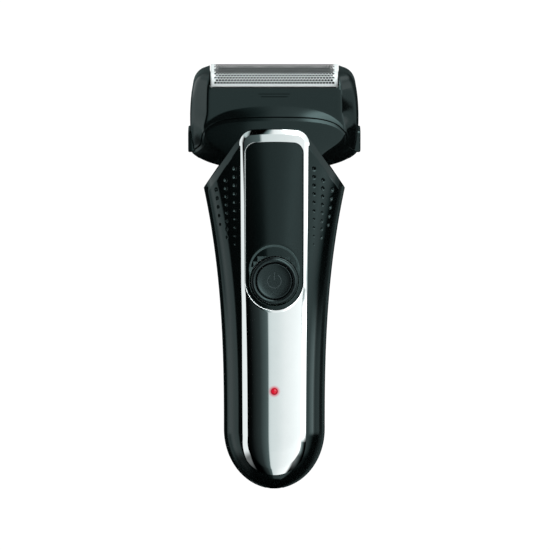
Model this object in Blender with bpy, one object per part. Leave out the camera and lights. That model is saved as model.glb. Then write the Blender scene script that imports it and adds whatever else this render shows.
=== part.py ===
"""A cordless foil shaver, standing on its charging end, with its front towards -Y.

Every size is in millimetres; the helpers turn it into metres. The head leans forward, so its pieces are
modelled in the head's own frame (x across, u from front to rear, v up) under the empty named head_frame.
"""

import math

import bmesh
import bpy
from mathutils import Matrix, Vector

MM = 0.001
GAP = 0.3  # between pieces that touch

# Handle
HANDLE_HALF = 18.2  # half width of its slim lower part
FLARE = 7.2  # how much wider it gets at the shoulders, each side
FLARE_POWER = 2.6
SECTION_POWER = 2.4  # of its superellipse section
END_HEIGHT = 21.0  # height of the rounded lower end
END_DEPTH_HEIGHT = 15.0  # height over which the lower end gains its full depth
END_DEPTH_POWER = 2.6
END_LEAST = 0.48  # the share of its depth that it stands on
PALM_Z, PALM_REACH = 58.0, 34.0  # where the rear swells into the palm
SHOULDER_Z = 108.0
SHOULDER_SLOPE = 0.70  # inwards, for each mm upwards
FRONT_DEPTH = 15.6
REAR_DEPTH = 14.8
PALM_SWELL = 2.1
SEAM_Y = -4.0  # where the front and rear shells meet
RIM = 0.6  # how far the rear shell stands out past the front one at the seam
WALL = 1.8
FRONT_WALL = 2.8
REST_FLAT_Y = 16.5
REST_FLAT_TOP = 106.0
TONGUE_TOP = 128.8  # of the front shell, behind the fascia
TONGUE_BACK = 13.9  # the plane in front of the head base that the tongue ends at
RIM_PLANE = -3.1  # the handle's top, in the head's frame

# Fascia and its inlay
FASCIA_HALF = 12.2
FASCIA_TAPER = 0.5  # how much narrower it gets, each side, over 100 mm downwards
FASCIA_CORNER = 4.2
FASCIA_TOP = 129.4
FASCIA_END_Z = 17.3  # where its rounded lower end starts
FASCIA_BOTTOM = 5.6
FASCIA_PROUD = 0.45
FASCIA_SUNK = 0.6
INLAY_PROUD = 0.25
WINDOW_HALF = 10.35
WINDOW_TOP = 125.0
WINDOW_CORNER = 3.4
BUTTON_Z = 75.1
RECESS_RADIUS = 8.9
BUTTON_RADIUS = 6.5
LED_Z = 35.6

# Drive
MOTOR_Y = 2.4
MOTOR_LOW, MOTOR_HIGH = 84.5, 108.0
BATTERY_Y = 5.5
BATTERY_LOW, BATTERY_HIGH = 14.0, 63.0
BATTERY_RADIUS = 7.05
STROKE = 1.1  # of the cutters, each way

# Head
HEAD_TILT = math.radians(10.0)
HEAD_AT = (0.0, 3.0, 118.0)
FOIL_TOP = 33.7
FOIL_PITCH = 6.4
FOIL_HALF = 22.8
OUTER_FOIL_RADIUS = 3.6
MIDDLE_FOIL_RADIUS = 2.2
FOIL_THICK = 0.3
FOIL_LOW = 24.0
RIM_LOW = 29.0  # top of the frame's front and rear walls
OPENING_HALF, OPENING_DEPTH = 23.2, 10.7
SEAM_MIDDLE = 18.7
SEAM_BEND = 20.9  # beyond this x the seam turns down towards the side
SEAM_END = 24.0  # and beyond this one it runs straight
RELEASE_V = 7.6
RELEASE_DEPTH, RELEASE_HEIGHT = 5.0, 4.0  # half sizes of a release button

SHAVER_LINES = ("front", "middle", "rear")


def clear_scene():
    for thing in list(bpy.data.objects):
        bpy.data.objects.remove(thing, do_unlink=True)


def material(name, colour, roughness, metallic=0.0):
    made = bpy.data.materials.new(name)
    made.use_nodes = True
    shader = made.node_tree.nodes["Principled BSDF"]
    shader.inputs["Base Color"].default_value = (*colour, 1.0)
    shader.inputs["Roughness"].default_value = roughness
    shader.inputs["Metallic"].default_value = metallic
    return made


def make_materials():
    return {
        "gloss_black": material("gloss_black", (0.012, 0.014, 0.015), 0.12),
        "satin_black": material("satin_black", (0.02, 0.023, 0.024), 0.35),
        "inlay_black": material("inlay_black", (0.01, 0.011, 0.012), 0.05),
        "chrome": material("chrome", (0.88, 0.89, 0.9), 0.05, 1.0),
        "foil_steel": material("foil_steel", (0.62, 0.65, 0.63), 0.3, 1.0),
        "spring_steel": material("spring_steel", (0.5, 0.5, 0.5), 0.3, 1.0),
        "brass": material("brass", (0.8, 0.6, 0.3), 0.3, 1.0),
        "lens": material("lens", (0.8, 0.02, 0.03), 0.1),
        "board_green": material("board_green", (0.02, 0.12, 0.06), 0.5),
        "inner_plastic": material("inner_plastic", (0.55, 0.56, 0.55), 0.5),
        "battery_wrap": material("battery_wrap", (0.05, 0.2, 0.35), 0.4),
        "rubber": material("rubber", (0.02, 0.02, 0.02), 0.8),
        "wire_red": material("wire_red", (0.5, 0.03, 0.02), 0.5),
    }


def finish_mesh(name, build, look, parent=None, origin=(0.0, 0.0, 0.0)):
    """An object from a bmesh in millimetres, with its origin at the given point."""
    bmesh.ops.recalc_face_normals(build, faces=build.faces)
    bmesh.ops.translate(build, verts=build.verts, vec=-Vector(origin))
    bmesh.ops.scale(build, vec=(MM, MM, MM), verts=build.verts)
    mesh = bpy.data.meshes.new(name)
    build.to_mesh(mesh)
    build.free()
    mesh.shade_smooth()
    mesh.set_sharp_from_angle(angle=math.radians(35))
    thing = bpy.data.objects.new(name, mesh)
    bpy.context.scene.collection.objects.link(thing)
    thing.location = Vector(origin) * MM
    if look:
        mesh.materials.append(look)
    if parent:
        thing.parent = parent
    return thing


def loft(rings):
    """A closed bmesh through rings of equal length, with flat ends."""
    build = bmesh.new()
    rows = [[build.verts.new(point) for point in ring] for ring in rings]
    count = len(rows[0])
    for low, high in zip(rows, rows[1:]):
        for i in range(count):
            j = (i + 1) % count
            build.faces.new((low[i], low[j], high[j], high[i]))
    build.faces.new(rows[0])
    build.faces.new(rows[-1])
    return build


def prism(outline, low, high, axis="y"):
    """An outline pushed along an axis; it gives (x, z) for y, (x, y) for z and (y, z) for x."""
    place = {
        "x": lambda a, b, t: (t, a, b),
        "y": lambda a, b, t: (a, t, b),
        "z": lambda a, b, t: (a, b, t),
    }[axis]
    return loft([[place(a, b, t) for a, b in outline] for t in (low, high)])


def box(low, high):
    outline = [(low[0], low[1]), (high[0], low[1]), (high[0], high[1]), (low[0], high[1])]
    return prism(outline, low[2], high[2], "z")


def circle(radius, count=24, centre=(0.0, 0.0)):
    angles = [2 * math.pi * i / count for i in range(count)]
    return [(centre[0] + radius * math.cos(a), centre[1] + radius * math.sin(a)) for a in angles]


def turned(stations, count=24, centre=(0.0, 0.0), axis="z"):
    """A solid of rotation through (radius, height) stations along an axis."""
    place = {
        "x": lambda a, b, t: (t, a, b),
        "y": lambda a, b, t: (a, t, b),
        "z": lambda a, b, t: (a, b, t),
    }[axis]
    rings = [[place(a, b, t) for a, b in circle(r, count, centre)] for r, t in stations]
    return loft(rings)


def helper(name, build, parent=None):
    """A cutting or joining shape, left out of the model."""
    thing = finish_mesh(name, build, None, parent)
    thing.hide_render = True
    thing.display_type = "WIRE"
    return thing


def combine(thing, operation, name, build, parent=None):
    other = helper(name, build, parent)
    step = thing.modifiers.new(name, "BOOLEAN")
    step.operation = operation
    step.solver = "EXACT"
    step.object = other


def cut(thing, name, build, parent=None):
    combine(thing, "DIFFERENCE", name, build, parent)


def add(thing, name, build, parent=None):
    combine(thing, "UNION", name, build, parent)


def keep(thing, name, build, parent=None):
    combine(thing, "INTERSECT", name, build, parent)


# ---- handle surfaces ---------------------------------------------------------------------------------


def half_width(z):
    if z < END_HEIGHT:
        return max(3.4, HANDLE_HALF * math.sqrt(1 - (1 - z / END_HEIGHT) ** 2))
    return HANDLE_HALF + FLARE * ((z - END_HEIGHT) / (SHOULDER_Z - END_HEIGHT)) ** FLARE_POWER


def end_share(z):
    """How much of its depth the rounded end has at this height."""
    if z >= END_DEPTH_HEIGHT:
        return 1.0
    fall = 1 - z / END_DEPTH_HEIGHT
    return max(END_LEAST, (1 - fall**END_DEPTH_POWER) ** (1 / END_DEPTH_POWER))


def front_depth(z):
    return FRONT_DEPTH * end_share(z)


def rear_depth(z):
    return (REAR_DEPTH + PALM_SWELL * math.exp(-(((z - PALM_Z) / PALM_REACH) ** 2))) * end_share(z)


def rounded(value):
    return math.copysign(abs(value) ** (2 / SECTION_POWER), value)


def handle_ring(z, count, side=0.0, front=0.0, rear=0.0):
    ring = []
    wide = half_width(z) - side
    for i in range(count):
        angle = 2 * math.pi * (i + 0.5) / count
        depth = rear_depth(z) - rear if math.sin(angle) > 0 else front_depth(z) - front
        ring.append((wide * rounded(math.cos(angle)), depth * rounded(math.sin(angle)), z))
    return ring


def front_surface(x, z):
    """The front shell's outer surface: how far y lies in front of the axis."""
    share = min(abs(x) / (half_width(z) - RIM), 0.999)
    return front_depth(z) * (1 - share**SECTION_POWER) ** (1 / SECTION_POWER)


def shoulder_outline(inset, top):
    """What the slanting shoulders leave of the handle, seen from the front."""
    edge = half_width(SHOULDER_Z) - inset * 1.22
    low, corner = SHOULDER_Z - 14, top - 1.4
    right = [(40, low), (edge + SHOULDER_SLOPE * 14, low)]
    right += [(edge - SHOULDER_SLOPE * (corner - SHOULDER_Z), corner), (8.0, top)]
    return [(-40, -5), (40, -5)] + right + [(-x, z) for x, z in reversed(right)]


OUTER_LEVELS = (0, 0.5, 1.6, 3.4, 6, 9.5, 14, 21, 32, 46, 58, 70, 82, 92, 100, 108, 118, 130)
CAVITY_LEVELS = (2, 4.5, 8, 14, 21, 40, 60, 80, 95, 108, 112)


def handle_cavity():
    rings = [handle_ring(z, 24, WALL, FRONT_WALL, WALL) for z in CAVITY_LEVELS[1:]]
    first = [(x * 0.8, y * 0.8, CAVITY_LEVELS[0]) for x, y, _ in rings[0]]
    return loft([first] + rings)


def head_room():
    """The space above the handle's rim and behind its front tongue, in the head's frame."""
    return box((-45, -TONGUE_BACK, RIM_PLANE), (45, 40, 40))


def make_cavity_shape(name):
    """The inside of the handle, with shoulders, as one hidden shape that both shells are cut by."""
    shape = helper(name, handle_cavity())
    keep(shape, name + "_shoulders", prism(shoulder_outline(WALL, 122), -30, 30))
    return shape


def neck_opening():
    """The hole through the handle's top that the motor's shaft comes up through, in the head's frame."""
    return box((-15.0, -7.4, -12), (15.0, 7.4, 4))


def cut_with(thing, other):
    step = thing.modifiers.new(other.name, "BOOLEAN")
    step.operation = "DIFFERENCE"
    step.solver = "EXACT"
    step.object = other


REAR_SCREWS = ((-10.0, 30.0), (10.0, 30.0), (-14.5, 97.0), (14.5, 97.0))


def make_rear_shell(look, cavity, head):
    rings = [handle_ring(z, 36) for z in OUTER_LEVELS]
    shell = finish_mesh("rear_shell", loft(rings), look)
    keep(shell, "rear_outline", prism(shoulder_outline(0, 127), -30, 30))
    cut(shell, "rear_front_half", box((-50, -40, -10), (50, SEAM_Y + GAP / 2, 140)))
    cut_with(shell, cavity)
    for i, (x, z) in enumerate(REAR_SCREWS):
        add(shell, f"rear_boss_{i}", turned(((2.6, 6.5), (2.6, 10.9)), 12, (x, z), "y"))
    cut(shell, "rear_top", head_room(), head)
    cut(shell, "rear_neck", neck_opening(), head)
    cut(shell, "rest_flat", box((-40, REST_FLAT_Y, -10), (40, 40, REST_FLAT_TOP)))
    cut(shell, "jack_hole", turned(((1.9, -1), (1.9, 6)), 16))
    stations = ((1.2, 5), (1.2, 9.6), (2.3, 9.6), (2.3, 30))
    for i, (x, z) in enumerate(REAR_SCREWS):
        cut(shell, f"rear_screw_hole_{i}", turned(stations, 12, (x, z), "y"))


def fascia_half(z):
    """Half width of the fascia's outline at this height."""
    taper = FASCIA_HALF - FASCIA_TAPER * min(1.0, (FASCIA_TOP - z) / 100)
    if z < FASCIA_END_Z:
        rise = (FASCIA_END_Z - z) / (FASCIA_END_Z - FASCIA_BOTTOM)
        return max(1.6, taper * math.sqrt(max(0.0, 1 - rise**2)))
    if z > FASCIA_TOP - FASCIA_CORNER:
        into = (z - FASCIA_TOP + FASCIA_CORNER) / FASCIA_CORNER
        return taper - FASCIA_CORNER * (1 - math.sqrt(max(0.0, 1 - into**2)))
    return taper


FASCIA_LEVELS = [FASCIA_BOTTOM + rise for rise in (0, 0.3, 1.2, 2.8, 5.2, 8.2)]
FASCIA_LEVELS += [FASCIA_END_Z, 24, 34, 46, 60, 74, 88, 102, 114]
FASCIA_LEVELS += [FASCIA_TOP - fall for fall in (FASCIA_CORNER, 2.4, 1.2, 0.4, 0)]


def skin_panel(levels, half, front, back, columns=12):
    """A panel that follows the handle's front surface, between two offsets from it."""
    rings = []
    for z in levels:
        wide = half(z)
        xs = [wide * (2 * i / columns - 1) for i in range(columns + 1)]
        row = [(x, -front_surface(x, z) - front, z) for x in xs]
        row += [(x, -front_surface(x, z) + back, z) for x in reversed(xs)]
        rings.append(row)
    return loft(rings)


def window_outline(inset):
    """The inlay's outline: rounded top corners, and a half circle under the button."""
    wide = WINDOW_HALF - inset
    flat, high = wide - WINDOW_CORNER, WINDOW_TOP - inset - WINDOW_CORNER
    points = []
    for turn in (0, 22, 45, 67, 90):
        a = math.radians(turn)
        points.append((flat + WINDOW_CORNER * math.sin(a), high + WINDOW_CORNER * math.cos(a)))
    for turn in range(0, 91, 15):
        a = math.radians(turn)
        points.append((wide * math.cos(a), BUTTON_Z - wide * math.sin(a)))
    return points + [(-x, z) for x, z in reversed(points[:-1])]


def make_front_shell(look, cavity, head):
    rings = [handle_ring(z, 36, RIM) for z in OUTER_LEVELS]
    shell = finish_mesh("front_shell", loft(rings), look)
    keep(shell, "front_outline", prism(shoulder_outline(0, TONGUE_TOP), -30, 30))
    cut(shell, "front_rear_half", box((-50, SEAM_Y - GAP / 2, -10), (50, 40, 140)))
    cut_with(shell, cavity)
    cut(shell, "front_top", head_room(), head)
    cut(shell, "front_neck", neck_opening(), head)
    levels = [FASCIA_LEVELS[0] - 0.3] + list(FASCIA_LEVELS[1:-1]) + [FASCIA_TOP + 0.4, 132]
    cut(shell, "fascia_seat", skin_panel(levels, lambda z: fascia_half(z) + GAP, 4, FASCIA_SUNK + GAP))
    cut(shell, "button_way", turned(((6.9, -30), (6.9, -5)), 20, (0, BUTTON_Z), "y"))
    cut(shell, "light_way", turned(((1.4, -30), (1.4, -5)), 12, (0, LED_Z), "y"))


def make_fascia(look):
    panel = skin_panel(FASCIA_LEVELS, fascia_half, FASCIA_PROUD, FASCIA_SUNK)
    fascia = finish_mesh("chrome_fascia", panel, look)
    cut(fascia, "fascia_window", prism(window_outline(0), -40, 0))
    cut(fascia, "fascia_light_hole", turned(((1.25, -40), (1.25, 0)), 12, (0, LED_Z), "y"))


def make_inlay(look):
    """The black panel in the fascia's window, scooped above the button."""
    levels = [WINDOW_TOP + 1 - 6.2 * i for i in range(11)]
    panel = skin_panel(levels, lambda z: WINDOW_HALF + 1, INLAY_PROUD, FASCIA_SUNK)
    inlay = finish_mesh("gloss_inlay", panel, look)
    keep(inlay, "inlay_outline", prism(window_outline(GAP), -40, 0))
    cut(inlay, "inlay_recess", turned(((RECESS_RADIUS, -40), (RECESS_RADIUS, 0)), 28, (0, BUTTON_Z), "y"))


# ---- button, light and board ---------------------------------------------------------------------------


def make_button(looks):
    stations = ((7.9, -16.5), (8.5, -16.0), (8.5, -15.05), (6.8, -15.05), (6.8, -16.5))
    bezel = finish_mesh("button_bezel", turned(stations, 28, (0, BUTTON_Z), "y"), looks["satin_black"])
    cut(bezel, "bezel_bore", turned(((6.8, -20), (6.8, -10)), 28, (0, BUTTON_Z), "y"))
    stations = ((1.7, -12.9), (1.7, -14.1), (BUTTON_RADIUS, -14.1), (BUTTON_RADIUS, -16.0), (5.9, -16.35))
    finish_mesh(
        "power_button",
        turned(stations, 28, (0, BUTTON_Z), "y"),
        looks["satin_black"],
        origin=(0, -16.35, BUTTON_Z),
    )
    finish_mesh(
        "switch_plunger",
        turned(((1.5, -12.55), (1.5, -10.8)), 12, (0, BUTTON_Z), "y"),
        looks["rubber"],
        origin=(0, -12.55, BUTTON_Z),
    )
    switch = finish_mesh(
        "tact_switch", box((-3, -12.0, BUTTON_Z - 3), (3, -9.7, BUTTON_Z + 3)), looks["inner_plastic"]
    )
    cut(switch, "switch_bore", turned(((1.8, -14), (1.8, -10.1)), 12, (0, BUTTON_Z), "y"))


def make_board(looks):
    board = finish_mesh("circuit_board", box((-9, -9.4, 15), (9, -8.2, 79)), looks["board_green"])
    for i, z in enumerate((24.0, 66.0)):
        cut(board, f"board_hole_{i}", turned(((1.1, -12), (1.1, -6)), 12, (-6, z), "y"))
        stations = ((1.8, -10.9), (1.8, -9.7), (0.8, -9.7), (0.8, -6.4))
        finish_mesh(f"board_screw_{i + 1}", turned(stations, 12, (-6, z), "y"), looks["spring_steel"])
    finish_mesh("charge_led", box((-1, -10.5, LED_Z - 0.8), (1, -9.7, LED_Z + 0.8)), looks["lens"])
    stations = ((1.0, -16.05), (1.0, -12.4), (1.6, -12.4), (1.6, -10.8))
    finish_mesh("led_light_pipe", turned(stations, 16, (0, LED_Z), "y"), looks["lens"])


# ---- battery, chassis and motor --------------------------------------------------------------------------


def make_battery(looks):
    stations = (
        (6.6, BATTERY_LOW),
        (BATTERY_RADIUS, BATTERY_LOW + 0.5),
        (BATTERY_RADIUS, BATTERY_HIGH - 1.5),
        (6.4, BATTERY_HIGH - 0.8),
        (2.8, BATTERY_HIGH - 0.8),
        (2.8, BATTERY_HIGH),
    )
    finish_mesh("battery_cell", turned(stations, 20, (0, BATTERY_Y)), looks["battery_wrap"])
    tabs = (("battery_tab_positive", BATTERY_HIGH + GAP), ("battery_tab_negative", BATTERY_LOW - GAP - 0.3))
    for name, z in tabs:
        finish_mesh(name, box((-2, -7.9, z), (2, BATTERY_Y + 3.5, z + 0.3)), looks["spring_steel"])


def make_chassis(look):
    chassis = finish_mesh("inner_chassis", box((-11.5, -7.2, 12.0), (11.5, -5.8, 110.0)), look)
    add(chassis, "chassis_ears", box((-17.0, -7.2, 93.0), (17.0, -5.8, 101.0)))
    add(chassis, "motor_shelf", box((-10.5, -6.2, 78.4), (10.5, 9.5, 79.9)))
    for i, (x, z) in enumerate(REAR_SCREWS):
        add(chassis, f"chassis_post_{i}", turned(((2.2, -6.0), (2.2, 6.0)), 12, (x, z), "y"))
        cut(chassis, f"chassis_bore_{i}", turned(((1.2, -2.0), (1.2, 8.0)), 12, (x, z), "y"))
    cut(chassis, "upper_tab_slot", box((-2.6, -10, BATTERY_HIGH - 0.2), (2.6, -4, BATTERY_HIGH + 1.0)))
    cut(chassis, "lower_tab_slot", box((-2.6, -10, BATTERY_LOW - 1.2), (2.6, -4, BATTERY_LOW + 0.2)))
    cut(chassis, "lead_window", box((-5, -10, 80.6), (5, -4, 84.2)))
    for i, z in enumerate((24.0, 66.0)):
        cut(chassis, f"board_screw_bore_{i}", turned(((1.1, -9), (1.1, -5)), 12, (-6, z), "y"))


def make_rear_screws(look):
    for i, (x, z) in enumerate(REAR_SCREWS):
        stations = ((0.9, -1.0), (0.9, 9.9), (1.9, 9.9), (1.9, 11.0), (1.4, 11.4))
        finish_mesh(f"rear_screw_{i + 1}", turned(stations, 12, (x, z), "y"), look)


def make_socket(looks):
    socket = finish_mesh("charging_socket", turned(((3.4, 2.4), (3.4, 11.3)), 20), looks["satin_black"])
    cut(socket, "socket_bore", turned(((1.75, 0), (1.75, 9.6)), 16))
    finish_mesh("socket_pin", turned(((0.55, 3.4), (0.55, 9.3)), 10), looks["brass"])


def motor_outline(wide, deep):
    """A round can with two flat sides."""
    return [(x, MOTOR_Y + max(-deep, min(deep, y))) for x, y in circle(wide, 24)]


def make_motor(looks):
    outline = motor_outline(10, 7.5)
    can = finish_mesh("motor_can", prism(outline, MOTOR_LOW, MOTOR_HIGH, "z"), looks["spring_steel"])
    cut(can, "shaft_bore", turned(((1.3, 98), (1.3, 120)), 12, (0, MOTOR_Y)))
    for i, x in enumerate((-6.0, 6.0)):
        cut(can, f"bracket_bore_{i}", turned(((1.0, 102), (1.0, 120)), 10, (x, MOTOR_Y)))
        stations = ((0.7, 104), (0.7, 111.9), (1.5, 111.9), (1.5, 112.8))
        finish_mesh(f"bracket_screw_{i + 1}", turned(stations, 12, (x, MOTOR_Y)), looks["spring_steel"])
    outline = motor_outline(9.8, 7.3)
    finish_mesh("motor_end_bell", prism(outline, 80.2, MOTOR_LOW - GAP, "z"), looks["inner_plastic"])
    bush = finish_mesh("motor_bush", turned(((3, 108.3), (3, 110.2)), 16, (0, MOTOR_Y)), looks["brass"])
    cut(bush, "bush_bore", turned(((1.1, 100), (1.1, 120)), 12, (0, MOTOR_Y)))
    plate = box((-12.5, -5.5, 110.5), (12.5, 10.0, 111.6))
    bracket = finish_mesh("motor_bracket", plate, looks["spring_steel"])
    cut(bracket, "bracket_hole", turned(((3.4, 105), (3.4, 120)), 16, (0, MOTOR_Y)))
    for i, x in enumerate((-6.0, 6.0)):
        cut(bracket, f"bracket_screw_hole_{i}", turned(((1.0, 105), (1.0, 120)), 10, (x, MOTOR_Y)))


def make_rotor(looks):
    at = (0.0, MOTOR_Y, MOTOR_HIGH)
    rod = turned(((0.98, 99), (0.98, 113.4)), 16, at[:2])
    finish_mesh("motor_shaft", rod, looks["spring_steel"], origin=at)
    cam = finish_mesh(
        "eccentric_cam", turned(((3.3, 113.0), (3.3, 115.4)), 20, at[:2]), looks["inner_plastic"], origin=at
    )
    add(cam, "cam_pin", turned(((0.9, 115), (0.9, 122.4)), 12, (STROKE, MOTOR_Y)))
    cut(cam, "cam_bore", turned(((1.28, 110), (1.28, 113.8)), 16, at[:2]))


def make_leads(looks):
    for side, name, look in ((-1, "motor_lead_black", "rubber"), (1, "motor_lead_red", "wire_red")):
        curve = bpy.data.curves.new(name, "CURVE")
        curve.dimensions = "3D"
        curve.bevel_depth = 0.45 * MM
        curve.bevel_resolution = 2
        curve.use_fill_caps = True
        path = curve.splines.new("POLY")
        steps = 10
        path.points.add(steps)
        for i in range(steps + 1):
            t = i / steps
            bend = 0.5 - 0.5 * math.cos(math.pi * t)
            point = (side * (2.5 + t), -8.8 + 3.3 * bend, 79.4 + 3.2 * math.sin(math.pi * t / 2))
            path.points[i].co = (*(c * MM for c in point), 1)
        curve.materials.append(looks[look])
        lead = bpy.data.objects.new(name, curve)
        bpy.context.scene.collection.objects.link(lead)


# ---- head ----------------------------------------------------------------------------------------------


def seam_height(x):
    """The arched line between the foil frame and the head base, in the head's frame."""
    share = min(1.0, (abs(x) / SEAM_BEND) ** 2)
    arch = SEAM_MIDDLE - 0.9 * share - 1.55 * share**3
    bend = min(max(abs(x) - SEAM_BEND, 0.0), SEAM_END - SEAM_BEND)
    straight = max(abs(x) - SEAM_END, 0.0)
    return arch - 0.53 * bend - 0.153 * bend**2 - 1.48 * straight


def head_ring(v, wide, deep, flat, side):
    """An eight-cornered outline at one height: flat front and rear, slanted corners, flat sides."""
    corner = [(wide, side), (wide - 0.6, side + 1.4), (flat + 0.5, deep - 0.4), (flat - 0.6, deep)]
    ring = [(x, u, v) for x, u in corner]
    ring += [(-x, u, v) for x, u in reversed(corner)]
    ring += [(-x, -u, v) for x, u in corner]
    return ring + [(x, -u, v) for x, u in reversed(corner)]


BASE_RINGS = (
    (-1.8, 17.0, 9.0, 11.0, 5.0),
    (-1.2, 20.5, 10.2, 12.0, 5.0),
    (-0.4, 23.6, 11.2, 13.2, 5.0),
    (1.0, 27.0, 12.2, 14.4, 5.0),
    (2.6, 29.4, 13.0, 15.6, 5.2),
    (4.4, 30.2, 13.5, 17.0, 5.4),
    (10.0, 30.2, 13.5, 24.0, 6.0),
)
FRAME_RINGS = (
    (16.0, 30.2, 13.5, 24.0, 6.0),
    (17.6, 30.2, 14.1, 24.0, 6.0),
    (20.5, 30.15, 14.2, 24.2, 6.0),
    (22.8, 29.9, 13.6, 24.2, 6.0),
    (27.0, 29.3, 13.4, 24.0, 6.0),
    (29.0, 28.9, 13.1, 23.9, 6.0),
    (30.6, 28.2, 12.3, 23.7, 5.8),
    (32.0, 27.3, 11.2, 23.4, 5.4),
    (32.9, 25.7, 9.4, 22.8, 4.6),
)


BASE_HOLLOW = (
    (1.2, 24.6, 10.4, 13.4, 4.6),
    (2.6, 27.2, 11.2, 14.6, 4.8),
    (4.4, 28.2, 11.8, 16.2, 5.0),
    (10.0, 28.3, 11.8, 23.2, 5.6),
    (40.0, 28.3, 11.8, 23.2, 5.6),
)


def head_block():
    return loft([head_ring(*ring) for ring in BASE_RINGS + FRAME_RINGS])


def arch_cutter(shift, upper):
    """Everything above or below the arched seam, moved up by shift."""
    xs = [-33 + 66 * i / 44 for i in range(45)]
    line = [(x, seam_height(x) + shift) for x in xs]
    end = 60 if upper else -40
    return prism(line + [(33, end), (-33, end)], -30, 30)


def make_head_base(look, head):
    base = finish_mesh("head_base", head_block(), look, head)
    cut(base, "above_seam", arch_cutter(-GAP / 2, True), head)
    cut(base, "base_hollow", loft([head_ring(*ring) for ring in BASE_HOLLOW]), head)
    for side in (-1, 1):
        a, b = sorted((side * 25.9, side * 40))
        low = RELEASE_V - RELEASE_HEIGHT - 0.4
        cut(base, f"button_bay_{side + 1}", box((a, -5.3, low), (b, 5.3, 40)), head)
    add(base, "collar", loft([head_ring(v, 24.6, 10.6, 14.0, 4.8) for v in (0.5, 19.4)]), head)
    cut(base, "collar_hollow", loft([head_ring(v, 23.2, 9.3, 13.4, 4.2) for v in (1.2, 40)]), head)
    cut(base, "drive_hole", box((-6.0, -4.0, -10), (6.0, 4.0, 10)), head)


def make_neck_seal(look, head):
    rings = [head_ring(v, 17.6, 9.4, 11.2, 5.0) for v in (-2.8, -2.1)]
    seal = finish_mesh("neck_seal", loft(rings), look, head)
    cut(seal, "seal_hole", box((-8.5, -5.6, -6), (8.5, 5.6, 4)), head)


def make_foil_frame(look, head):
    frame = finish_mesh("foil_frame", head_block(), look, head)
    cut(frame, "below_seam", arch_cutter(GAP / 2, False), head)
    rings = [head_ring(v, 28.3, 11.8, 23.2, 5.6) for v in (-5, 22)]
    rings.append(head_ring(27.2, 27.4, 11.6, 23.1, 5.6))
    cut(frame, "frame_hollow", loft(rings), head)
    opening = box((-OPENING_HALF, -OPENING_DEPTH, 20), (OPENING_HALF, OPENING_DEPTH, 50))
    cut(frame, "foil_opening", opening, head)
    cut(frame, "horn_gap", box((-OPENING_HALF, -30, RIM_LOW), (OPENING_HALF, 30, 50)), head)
    for side in (-1, 1):
        a, b = sorted((side * 26.0, side * 40))
        top = RELEASE_V + RELEASE_HEIGHT + 0.35
        cut(frame, f"button_notch_{side + 1}", box((a, -5.4, -5), (b, 5.4, top)), head)


def make_cassette(look, head):
    """The ring inside the frame that guides the three foils."""
    rings = [head_ring(v, 26.6, 11.3, 22.7, 6.8) for v in (20.4, 23.4)]
    cassette = finish_mesh("foil_cassette", loft(rings), look, head)
    cut(cassette, "cassette_opening", box((-23.3, -10.3, 10), (23.3, 10.3, 40)), head)


def arch_section(radius, centre, low, steps=10):
    """A round-topped strip outline in (u, v), open towards the bottom edge."""
    turns = [math.pi * i / steps for i in range(steps + 1)]
    arc = [(radius * math.cos(a), centre + radius * math.sin(a)) for a in turns]
    return [(radius, low)] + arc + [(-radius, low)]


def foil_place(line):
    radius = MIDDLE_FOIL_RADIUS if line == "middle" else OUTER_FOIL_RADIUS
    return FOIL_PITCH * (SHAVER_LINES.index(line) - 1), radius


def make_foils(look, head):
    for line in SHAVER_LINES:
        u, radius = foil_place(line)
        centre = FOIL_TOP - radius
        outer = arch_section(radius, centre, FOIL_LOW)
        inner = arch_section(radius - FOIL_THICK, centre, FOIL_LOW)
        outline = [(u + a, b) for a, b in outer + inner[::-1]]
        sheet = prism(outline, -FOIL_HALF, FOIL_HALF, "x")
        finish_mesh(f"{line}_foil", sheet, look, head, origin=(0, u, FOIL_TOP))


def make_cutters(looks, head):
    for line in SHAVER_LINES:
        u, radius = foil_place(line)
        inner = radius - FOIL_THICK - GAP
        centre = FOIL_TOP - radius
        outline = [(u + a, b) for a, b in arch_section(inner, centre, 25.0)]
        bar = prism(outline, -20.2, 20.2, "x")
        cutter = finish_mesh(f"{line}_cutter", bar, looks["spring_steel"], head, origin=(0, u, FOIL_TOP))
        cut(cutter, f"{line}_post_bore", turned(((1.2, 20), (1.2, 28.6)), 12, (0, u)), head)


def helix_curve(name, radius, low, high, turns, wire, look, parent, place):
    """A coil spring of round wire; place turns (a, b, along) into a point."""
    curve = bpy.data.curves.new(name, "CURVE")
    curve.dimensions = "3D"
    curve.bevel_depth = wire / 2 * MM
    curve.bevel_resolution = 1
    curve.use_fill_caps = True
    path = curve.splines.new("POLY")
    steps = int(turns * 10)
    path.points.add(steps)
    for i in range(steps + 1):
        angle = 2 * math.pi * turns * i / steps
        along = low + (high - low) * i / steps
        point = place(radius * math.cos(angle), radius * math.sin(angle), along)
        path.points[i].co = (*(c * MM for c in point), 1)
    curve.materials.append(look)
    spring = bpy.data.objects.new(name, curve)
    bpy.context.scene.collection.objects.link(spring)
    spring.parent = parent


def make_cutter_springs(look, head):
    for line in SHAVER_LINES:
        u, _ = foil_place(line)
        radius = 1.4 if line == "middle" else 2.0
        place = lambda a, b, t, u=u: (a, u + b, t)
        helix_curve(f"{line}_cutter_spring", radius, 18.2, 24.4, 4, 0.5, look, head, place)


def make_oscillator(look, head):
    """The swinging bridge: a slotted plate with a sprung post for each cutter."""
    bridge = finish_mesh("oscillator_bridge", box((-14, -8.0, 3.4), (14, 8.0, 5.6)), look, head)
    for line in SHAVER_LINES:
        u, _ = foil_place(line)
        stations = ((1.6, 5.0), (1.6, 16.4), (2.6, 16.4), (2.6, 17.6), (1.0, 17.6), (1.0, 27.2))
        add(bridge, f"{line}_post", turned(stations, 12, (0, u)), head)
    cut(bridge, "yoke_slot", box((-3.4, -2.8, 0), (3.4, 2.8, 5.0)), head)


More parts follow.
